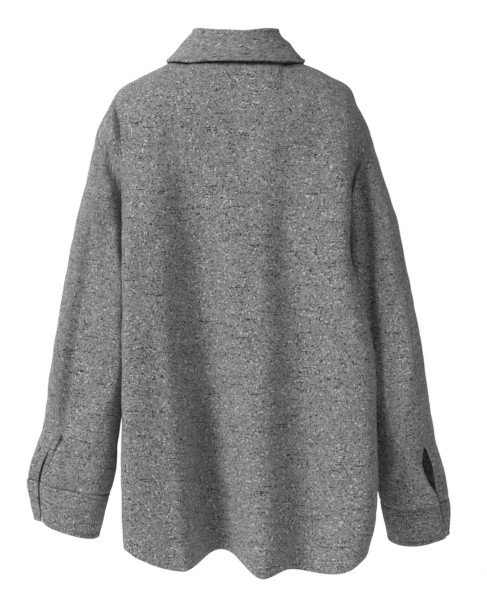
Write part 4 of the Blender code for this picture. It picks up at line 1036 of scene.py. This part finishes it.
class Shell:
    """A piece of cloth on its surface, as a fine grid with its weave measured along it."""

    def __init__(self, name, surface, first, second, limits, thickness, outward=None):
        self.name, self.thickness = name, thickness
        points = surface(first, second)
        normals = normals_of(surface, first, second, *limits)
        if outward is None:
            outward = np.array([1, 1, 0]) * (points - points.reshape(-1, 3).mean(axis=0))
        self.points, self.normals = points, normals * np.sign(np.sum(normals * outward))
        self.ring_rows = 0  # how many rows, from the top, close into a ring
        self.u, self.v = arc(points, 1), arc(points, 0)
        self.grain, self.grain_across = self.v, None
        self.stitch_gap, self.stitch_inset = np.ones(first.shape), 0.0
        self.free = {"top", "bottom", "first", "last"}
        self.move = np.zeros(first.shape)

    def distances(self):
        """How far each point lies from each of the four edges."""
        return {
            "top": self.v,
            "bottom": self.v[-1:] - self.v,
            "first": self.u,
            "last": self.u[:, -1:] - self.u,
        }

    def grain_level(self, centre):
        """The yarns run level and plumb, whatever the slopes of the edges."""
        p = self.points
        across = np.hypot(p[:, 1:, 0] - p[:, :-1, 0], p[:, 1:, 1] - p[:, :-1, 1])
        down = np.hypot(p[1:, :, 2] - p[:-1, :, 2], p[1:, :, 1] - p[:-1, :, 1])
        across = np.cumsum(np.pad(across, ((0, 0), (1, 0))), axis=1)
        down = np.cumsum(np.pad(down, ((1, 0), (0, 0))), axis=0)
        k = len(p) // 2
        self.grain = down - down[[k]] - p[[k], :, 2]
        self.grain_across = across - across[:, [centre]]
        return self

    def grain_from_bottom(self):
        """The yarns across run along the bottom edge."""
        self.grain = self.v - self.v[-1:]
        return self

    def seams(self, *edges):
        """Edges sewn to another piece: pulled in a little, with a slight swell beside, and not rounded."""
        gaps = self.distances()
        swell, place, width = SEAM_SWELL
        for edge in edges:
            self.free.discard(edge)
            self.move -= SEAM_DIP * near_edge(gaps[edge], 0, SEAM_WIDTH)
            self.move += swell * SEAM_DIP * near_edge(gaps[edge], place * SEAM_WIDTH, width * SEAM_WIDTH)
        return self

    def stitched(self, inset, *edges):
        """A line of stitching at one distance inside some edges, and the swell of the cloth outside it."""
        gaps = self.distances()
        nearest = np.min([gaps[edge] for edge in edges], axis=0)
        self.stitch_gap, self.stitch_inset = nearest, inset
        self.move -= STITCH_DIP * near_edge(nearest, inset, STITCH_WIDTH)
        swell, place, width = STITCH_SWELL
        self.move += swell * STITCH_DIP * near_edge(nearest, place * inset, width * inset)
        return self

    def build(self, look, centre=None):
        """Makes the piece. Its yarns are counted from its first column, or from the centre one."""
        u = self.u if centre is None else self.u - self.u[:, [centre]]
        u = u + CLOTH_SHIFT[self.name]
        offset = self.move + unevenness(u, self.v) * min(1.0, self.v.max() / UNEVEN_LENGTH)
        press = hollow_press(self.name, self.points)
        points = self.points - np.sign(self.points[..., 1:2]) * press[..., None] * np.array([0, 1, 0])
        points = points + self.normals * offset[..., None]
        inner = points - self.normals * self.thickness
        middle = (points + inner) / 2 + self.rim_way(points) * self.thickness * RIM_BULGE
        layers = np.concatenate([grid.reshape(-1, 3) for grid in (points, inner, middle)])
        quads = self.quads()
        used = np.unique(quads)
        renumber = np.full(len(layers), -1)
        renumber[used] = np.arange(len(used))
        data = bpy.data.meshes.new(self.name)
        data.from_pydata(layers[used].tolist(), [], renumber[quads].tolist())
        data.validate()
        data.update()
        across = u if self.grain_across is None else self.grain_across
        weave = np.stack([across, self.grain, 0 * u], -1).reshape(-1, 3)
        inset = np.full(u.shape, self.stitch_inset)
        sewn = np.stack([u + self.v, self.stitch_gap, inset], -1).reshape(-1, 3)
        for name, values, inside in (("weave", weave, weave + INSIDE_SHIFT), ("sewn", sewn, sewn)):
            attribute = data.attributes.new(name, "FLOAT_VECTOR", "POINT")
            everywhere = np.concatenate([values, inside, values])
            attribute.data.foreach_set("vector", everywhere[used].ravel().astype(np.float32))
        if bmesh_volume(data) < 0:
            data.flip_normals()
        data.shade_smooth()
        data.materials.append(look)
        made = bpy.data.objects.new("look_" + self.name, data)
        bpy.context.scene.collection.objects.link(made)
        return made

    def quads(self):
        """Faces of the outside and the inside, and a rounded rim of two rows round every edge."""
        rows, columns = self.move.shape
        count = rows * columns
        index = np.arange(count).reshape(rows, columns)
        index[: self.ring_rows, -1] = index[: self.ring_rows, 0]
        corners = (index[:-1, :-1], index[:-1, 1:], index[1:, 1:], index[1:, :-1])
        quads, sides = [], {}
        for face in np.stack(corners, -1).reshape(-1, 4).tolist():
            quads += [face, [i + count for i in reversed(face)]]
            for side in zip(face, face[1:] + face[:1]):
                sides[side] = True
        for a, b in sides:
            if (b, a) not in sides:
                quads.append([b, a, a + 2 * count, b + 2 * count])
                quads.append([b + 2 * count, a + 2 * count, a + count, b + count])
        return np.array(quads)

    def rim_way(self, points):
        """Away from the cloth at its free edges, and nothing elsewhere."""
        way = np.zeros_like(points)
        if "top" in self.free:
            way[0] += unit(points[0] - points[1])
        if "bottom" in self.free:
            way[-1] += unit(points[-1] - points[-2])
        rows = slice(self.ring_rows, None)
        if "first" in self.free:
            way[rows, 0] += unit(points[rows, 0] - points[rows, 1])
        if "last" in self.free:
            way[rows, -1] += unit(points[rows, -1] - points[rows, -2])
        return unit(way) * (np.linalg.norm(way, axis=-1, keepdims=True) > 0.5)

    def flat(self):
        """The cut: its width, length and area, measured along the cloth."""
        p = self.points
        cross = np.cross(p[1:, 1:] - p[:-1, :-1], p[1:, :-1] - p[:-1, 1:])
        area = float(np.linalg.norm(cross, axis=-1).sum() / 2)
        width, length = float(self.u[:, -1].max()), float(self.v[-1].max())
        return width, length, min(area, width * length)


def bmesh_volume(data):
    mesh = bmesh.new()
    mesh.from_mesh(data)
    volume = mesh.calc_volume(signed=True)
    mesh.free()
    return volume


def finish_piece(shell, look, centre=None):
    piece = shell.build(look, centre)
    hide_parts(shell.name)
    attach(piece, "root")
    width, length, area = shell.flat()


def panel_shell(name, face, across, level, outward=None):
    across, level = np.broadcast_arrays(across, level[:, None])
    return Shell(name, lambda a, v: body_point(face, a, v), across, level, BODY_LIMITS, CLOTH, outward)


def make_back(look):
    levels = np.linspace(0, HEM_LEVEL, BODY_ROWS + 1)
    across = np.linspace(-1, 1, 2 * BODY_COLUMNS + 1)
    shell = panel_shell("back", BACK, across, levels)
    shell.move -= crease_depth("back", across, levels[:, None], BODY_SCALE)
    shell.seams("top", "first", "last").stitched(HEM_STITCH, "bottom").grain_level(BODY_COLUMNS)
    finish_piece(shell, look, BODY_COLUMNS)


def make_front(side, look):
    """A front, from past the centre to its side seam. The left one is tucked under the right one."""
    name = "front_" + side_name(side)
    levels = np.linspace(0, HEM_LEVEL, BODY_ROWS + 1)
    past = band_across(levels)[:, None]
    across = side * (-past + (1 + past) * np.linspace(0, 1, FRONT_COLUMNS + 1))
    shell = panel_shell(name, FRONT, across, levels)
    clear_of_band = soft_step((np.abs(across) - BAND_CLEAR) / BAND_CLEAR_FADE)
    shell.move -= crease_depth(name, across, levels[:, None] + 0 * across, BODY_SCALE) * clear_of_band
    if side == LEFT:
        ramp = TUCK_RAMP / BAND_HALF * past
        shell.points -= shell.normals * (UNDERLAP * soft_step((past + ramp - across) / ramp))[..., None]
    shell.seams("top", "last").stitched(HEM_STITCH, "bottom").grain_level(0)
    finish_piece(shell, look, int(np.argmin(np.abs(across[BODY_ROWS // 2]))))


def make_band(look):
    levels = np.linspace(BAND_START, HEM_LEVEL, BODY_ROWS + 1)
    across = np.linspace(BAND_SHARE, -BAND_SHARE, BAND_COLUMNS + 1) * band_across(levels)[:, None]
    shell = panel_shell("front_band", FRONT, across, levels, np.array([0, -1, 0]))
    shell.points += shell.normals * (CLOTH + SEAM_GAP)
    shell.stitched(EDGE_STITCH, "first", "last")
    finish_piece(shell, look, BAND_COLUMNS // 2)


def slit_closing(side, along, turn):
    """How far the two edges of a sleeve's slit move, so that the front one tucks under the back one."""
    rows = SLIT_CLOSING_LEFT if side == LEFT else SLIT_CLOSING_RIGHT
    places, back, front, tuck = np.array(rows[1:]).T
    by_back = soft_step((CLOSING_REACH - turn) / CLOSING_REACH)
    by_front = soft_step((turn - 1 + FLAP_REACH) / FLAP_REACH)
    aside = by_back * np.interp(along, places, back) + by_front * np.interp(along, places, front)
    inward = by_front * np.interp(along, places, tuck)
    return np.stack([aside, -inward, 0 * aside], -1)


def tube_shell(name, side, along, turns, thickness):
    turn, alongs = np.meshgrid(turns, along)

    def surface(t, a):
        return sleeve_point(side, a, t) + slit_closing(side, a, t)

    limits = (turns[0], turns[-1]), (along[0], along[-1])
    centre = sleeve_point(side, alongs[:, :1], np.linspace(0, 1, 41)).mean(axis=1, keepdims=True)
    outward = sleeve_point(side, alongs, turn) - centre
    return Shell(name, surface, turn, alongs, limits, thickness, outward)


def make_sleeve(side, look):
    name = "sleeve_" + side_name(side)
    slit_row = round(SLEEVE_FINE_ROWS * SLIT_START / CUFF_START)
    above = np.linspace(0, SLIT_START, slit_row + 1)
    beside = np.linspace(SLIT_START, CUFF_START, SLEEVE_FINE_ROWS - slit_row + 1)[1:]
    along = np.concatenate([above, beside])
    turns = np.linspace(0, 1, SLEEVE_FINE_COLUMNS + 1)
    shell = tube_shell(name, side, along, turns, CLOTH)
    shell.ring_rows = slit_row + 1
    ring = slice(0, shell.ring_rows)
    shell.normals[ring, [0, -1]] = unit(shell.normals[ring, :1] + shell.normals[ring, -1:])
    alongs = along[:, None] + 0 * turns
    degrees = read(sleeve_table(side), "slit_back", alongs) + 360 * turns
    for turned in (degrees, degrees - 360):
        shell.move -= crease_depth(name, turned, alongs, SLEEVE_SCALE)
    shell.seams("top", "bottom").grain_from_bottom()
    finish_piece(shell, look)


def make_cuff(side, look):
    along = np.linspace(CUFF_START, CUFF_END, CUFF_FINE_ROWS + 1)
    turns = np.linspace(0, 1, SLEEVE_FINE_COLUMNS + 1)
    shell = tube_shell("cuff_" + side_name(side), side, along, turns, DOUBLED)
    shell.points += shell.normals * CUFF_PROUD
    shell.seams("top").stitched(EDGE_STITCH, "top", "bottom", "first", "last")
    finish_piece(shell, look)


def make_binding(side, look):
    """The binding along the back edge of a sleeve's slit, on top of the sleeve's cloth."""
    ring = sleeve_point(side, BINDING_RING, np.linspace(0, 1, 60))
    around = np.linalg.norm(np.diff(ring, axis=0), axis=1).sum()
    rows, columns = BINDING_FINE
    turns = np.linspace(*BINDING_SHARE, columns + 1) * BINDING_WIDTH / around
    along = np.linspace(BINDING_START, BINDING_END, rows + 1)
    shell = tube_shell("placket_" + side_name(side), side, along, turns, CLOTH)
    shell.points += shell.normals * 0.5 * CLOTH
    shell.stitched(BINDING_STITCH, "first", "last")
    finish_piece(shell, look)


def make_stand(look):
    rows, columns = STAND_FINE
    limits = (-STAND_OVERLAP, 2 * math.pi + STAND_OVERLAP), (0, 1)
    angle, up = np.meshgrid(np.linspace(*limits[0], columns + 1), np.linspace(0, 1, rows + 1))
    shell = Shell("collar_stand", stand_point, angle, up, limits, DOUBLED, neck_outward(angle))
    shell.stitched(STAND_STITCH, "first", "last", "top", "bottom")
    finish_piece(shell, look)


def make_fall(look):
    """The fall, with its fold a little narrower at the sides than the solid's, and its edge lower there."""
    rows, columns = FALL_FINE
    roll = rows // 4
    along = np.concatenate([[0.0, 0.5], np.linspace(1, 2, roll + 1), np.linspace(2, 3, rows - roll)[1:]])
    place, alongs = np.meshgrid(np.linspace(0, 1, columns + 1), along)
    outward = np.zeros((*place.shape, 3))
    outward[-1] = neck_outward(mix(FALL_END, 2 * math.pi - FALL_END, place[-1]))
    shell = Shell("collar_fall", fall_point, place, alongs, ((0, 1), (0, 3)), DOUBLED, outward)
    x, y = shell.points[..., 0], shell.points[..., 1]
    beside = soft_step((np.abs(x) - BESIDE_X) / BESIDE_FADE_X) * soft_step((y - BESIDE_Y) / BESIDE_FADE_Y)
    shell.points[..., 0] += np.sign(x) * np.interp(alongs, *FALL_OUT) * beside
    shell.points[..., 2] -= np.interp(alongs, *FALL_DOWN) * beside
    shell.stitched(EDGE_STITCH, "bottom", "first", "last").grain_from_bottom()
    finish_piece(shell, look)


def skin(mesh, rings, closed=False):
    """Faces between rings of vertices, and over the first and the last one unless they meet."""
    for low, high in zip(rings, rings[1:] + rings[:1] if closed else rings[1:]):
        for k in range(len(low)):
            n = (k + 1) % len(low)
            mesh.faces.new([low[k], low[n], high[n], high[k]])
    if not closed:
        mesh.faces.new(rings[0][::-1])
        mesh.faces.new(rings[-1])


def circle(sides):
    turns = [2 * math.pi * k / sides for k in range(sides)]
    return [(math.cos(turn), math.sin(turn)) for turn in turns]


def lathe(profile, sides):
    """A closed turned mesh about +Z through (radius, height) pairs."""
    mesh = bmesh.new()
    rings = []
    for radius, height in profile:
        rings.append([mesh.verts.new((radius * x, radius * y, height)) for x, y in circle(sides)])
    skin(mesh, rings)
    return mesh


def to_object(mesh, name, look, place):
    data = bpy.data.meshes.new(name)
    mesh.to_mesh(data)
    mesh.free()
    data.transform(place)
    data.shade_smooth()
    data.materials.append(look)
    made = bpy.data.objects.new(name, data)
    bpy.context.scene.collection.objects.link(made)
    return made


def button_profile(radius):
    """A round-edged disc with a raised rim and a sunk face, from its back to the middle of its face."""
    rim = radius - BUTTON_RIM
    dish = BUTTON_THICK - BUTTON_DISH
    profile = [(0.80 * radius, 0.0), (0.92 * radius, 0.10 * BUTTON_THICK)]
    for k in range(7):
        turn = math.pi * (k / 6 - 0.5) * 0.9
        bulge = 0.06 * radius * math.cos(turn)
        profile.append((0.94 * radius + bulge, BUTTON_THICK * (0.52 + 0.42 * math.sin(turn))))
    profile += [(0.88 * radius, BUTTON_THICK), (rim, 0.97 * BUTTON_THICK)]
    return profile + [(rim - 0.0006, dish + 0.0002), (rim - 0.0011, dish)]


def on_cloth(base, normal, lift):
    """Where a thing lies on the cloth at base: its +Z along the normal, and lifted off it."""
    normal = Vector(normal).normalized()
    aside = normal.cross(Vector((0, 0, 1))).normalized()
    place = Matrix((aside, aside.cross(normal), normal)).transposed().to_4x4()
    place.translation = Vector(base) + normal * lift
    return place


def cut_holes(body, look):
    holes = bmesh.new()
    for x in (-HOLE_SPREAD, HOLE_SPREAD):
        for y in (-HOLE_SPREAD, HOLE_SPREAD):
            spot = Matrix.Translation((x, y, BUTTON_THICK / 2))
            bmesh.ops.create_cone(holes, cap_ends=True, segments=HOLE_SIDES, radius1=HOLE_RADIUS,
                                  radius2=HOLE_RADIUS, depth=2 * BUTTON_THICK, matrix=spot)
    cutter = to_object(holes, "cutter", look, Matrix())
    modifier = body.modifiers.new("holes", "BOOLEAN")
    modifier.operation = "DIFFERENCE"
    modifier.object = cutter
    deps = bpy.context.evaluated_depsgraph_get()
    cut = bpy.data.meshes.new_from_object(body.evaluated_get(deps))
    body.modifiers.clear()
    body.data = cut
    bpy.data.objects.remove(cutter)


def sewn_button(node, base, normal, radius, looks):
    """A four-hole button with its thread, on the cloth at base."""
    place = on_cloth(base, normal, 1.5 * SEAM_GAP)
    body = to_object(lathe(button_profile(radius), LATHE_SIDES), "look_" + node, looks["horn"], Matrix())
    cut_holes(body, looks["horn"])
    body.data.transform(place)
    body.data.shade_smooth()
    body.data.set_sharp_from_angle(angle=SHARP_EDGE)
    thread = bmesh.new()
    far = HOLE_SPREAD
    for start, end in (((-far, -far), (far, far)), ((-far, far), (far, -far))):
        for shift in (-STRAND_SHIFT, STRAND_SHIFT):
            add_strand(thread, start, end, shift)
    strands = to_object(thread, "look_thread_" + node, looks["thread"], place)
    for piece in (body, strands):
        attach(piece, "root")
    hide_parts(node)


def add_strand(mesh, start, end, shift):
    """A short arched strand of thread from one hole to another, just over the face of the button."""
    across = Vector((end[1] - start[1], start[0] - end[0], 0)).normalized() * shift
    top = BUTTON_THICK - BUTTON_DISH + STRAND_OVER
    path = []
    for k in range(9):
        t = k / 8
        sunk = (2 * t - 1) ** 8
        height = top * (1 - sunk) - STRAND_UNDER * sunk
        spot = Vector((mix(start[0], end[0], t), mix(start[1], end[1], t), height))
        path.append(spot + across)
    tube(mesh, path, STRAND_RADIUS, CORD_SIDES)


def tube(mesh, path, radius, sides, closed=False):
    """A round cord along a path, closed into a ring or with flat ends."""
    rings = []
    count = len(path)
    for k, spot in enumerate(path):
        before = path[k - 1] if k or closed else spot
        after = path[(k + 1) % count] if k < count - 1 or closed else spot
        way = (after - before).normalized()
        side = way.cross(Vector((0.03, 0.05, 1))).normalized()
        up = side.cross(way)
        rings.append([mesh.verts.new(spot + (side * x + up * y) * radius) for x, y in circle(sides)])
    skin(mesh, rings, closed)
    bmesh.ops.recalc_face_normals(mesh, faces=mesh.faces)


def buttonhole(name, base, normal, looks):
    """The worked edge of a buttonhole: a narrow oval of thread on the cloth."""
    mesh = bmesh.new()
    straight = BUTTONHOLE_LENGTH / 2 - BUTTONHOLE_HALF
    path = []
    for k, (x, y) in enumerate(circle(40)):
        rise = 0.0 if k % 20 == 0 else BUTTONHOLE_HALF * y + math.copysign(straight, y)
        path.append(Vector((BUTTONHOLE_HALF * x, rise, BUTTONHOLE_LIFT)))
    tube(mesh, path, BUTTONHOLE_CORD, CORD_SIDES, closed=True)
    piece = to_object(mesh, name, looks["thread"], on_cloth(base, normal, 0.0001))
    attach(piece, "root")


def surface_frame(surface, a, b, limits_a, limits_b, outward):
    """A point of a surface and its normal on the side that outward points to."""
    normal = normals_of(surface, np.array([a]), np.array([b]), limits_a, limits_b)[0]
    return surface(np.array([a]), np.array([b]))[0], normal * np.sign(np.dot(normal, outward))


def make_buttons(looks):
    def front(a, v):
        return body_point(FRONT, a, v)

    for k, level in enumerate(np.linspace(FRONT_BUTTON_FIRST, FRONT_BUTTON_LAST, FRONT_BUTTONS)):
        centre, normal = surface_frame(front, 0.0, level, (-1, 1), (0, HEM_LEVEL), (0, -1, 0))
        base = centre + normal * (CLOTH + SEAM_GAP)
        sewn_button(f"button_front_{k + 1}", base, normal, BUTTON_RADIUS, looks)
        buttonhole(f"look_buttonhole_{k + 1}", base, normal, looks)
    centre, normal = surface_frame(stand_point, 2 * math.pi, 0.5, (0, 7), (0, 1), (0, -1, 0))
    sewn_button("button_collar", centre, normal, SMALL_BUTTON_RADIUS, looks)
    for side in (LEFT, RIGHT):
        def cuff(a, t):
            return sleeve_point(side, a, t)

        middle_along = (CUFF_START + CUFF_END) / 2
        beside = sleeve_turns()[CUFF_BUTTON_COLUMN: CUFF_BUTTON_COLUMN + 2]
        spots = cuff(middle_along, beside)
        axis_point = cuff(middle_along, np.linspace(0, 1, 40)).mean(axis=0)
        outward = spots.mean(axis=0) - axis_point
        limits = (CUFF_START, CUFF_END), (0, 1)
        _, normal = surface_frame(cuff, middle_along, beside.mean(), *limits, outward)
        base = spots.mean(axis=0) + normal * CUFF_PROUD
        sewn_button("button_cuff_" + side_name(side), base, normal, SMALL_BUTTON_RADIUS, looks)


def make_floor():
    mesh = bmesh.new()
    bmesh.ops.create_circle(mesh, cap_ends=True, segments=96, radius=FLOOR_RADIUS)
    floor = to_object(mesh, "floor", floor_material(), Matrix.Translation((0, 0, FLOOR_Z)))


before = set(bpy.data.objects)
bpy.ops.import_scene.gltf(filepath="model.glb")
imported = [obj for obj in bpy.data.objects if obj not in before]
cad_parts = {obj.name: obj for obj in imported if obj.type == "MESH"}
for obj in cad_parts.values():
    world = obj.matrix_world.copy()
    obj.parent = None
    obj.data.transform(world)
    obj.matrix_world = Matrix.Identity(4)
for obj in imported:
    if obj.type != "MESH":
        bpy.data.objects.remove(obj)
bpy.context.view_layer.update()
set_lights(set_camera())
set_world()
make_floor()
tweed = tweed_material()
looks = {"horn": horn_material(), "thread": thread_material()}
make_back(tweed)
for side in (LEFT, RIGHT):
    make_front(side, tweed)
    make_sleeve(side, tweed)
    make_cuff(side, tweed)
    make_binding(side, tweed)
make_band(tweed)
make_stand(tweed)
make_fall(tweed)
make_buttons(looks)
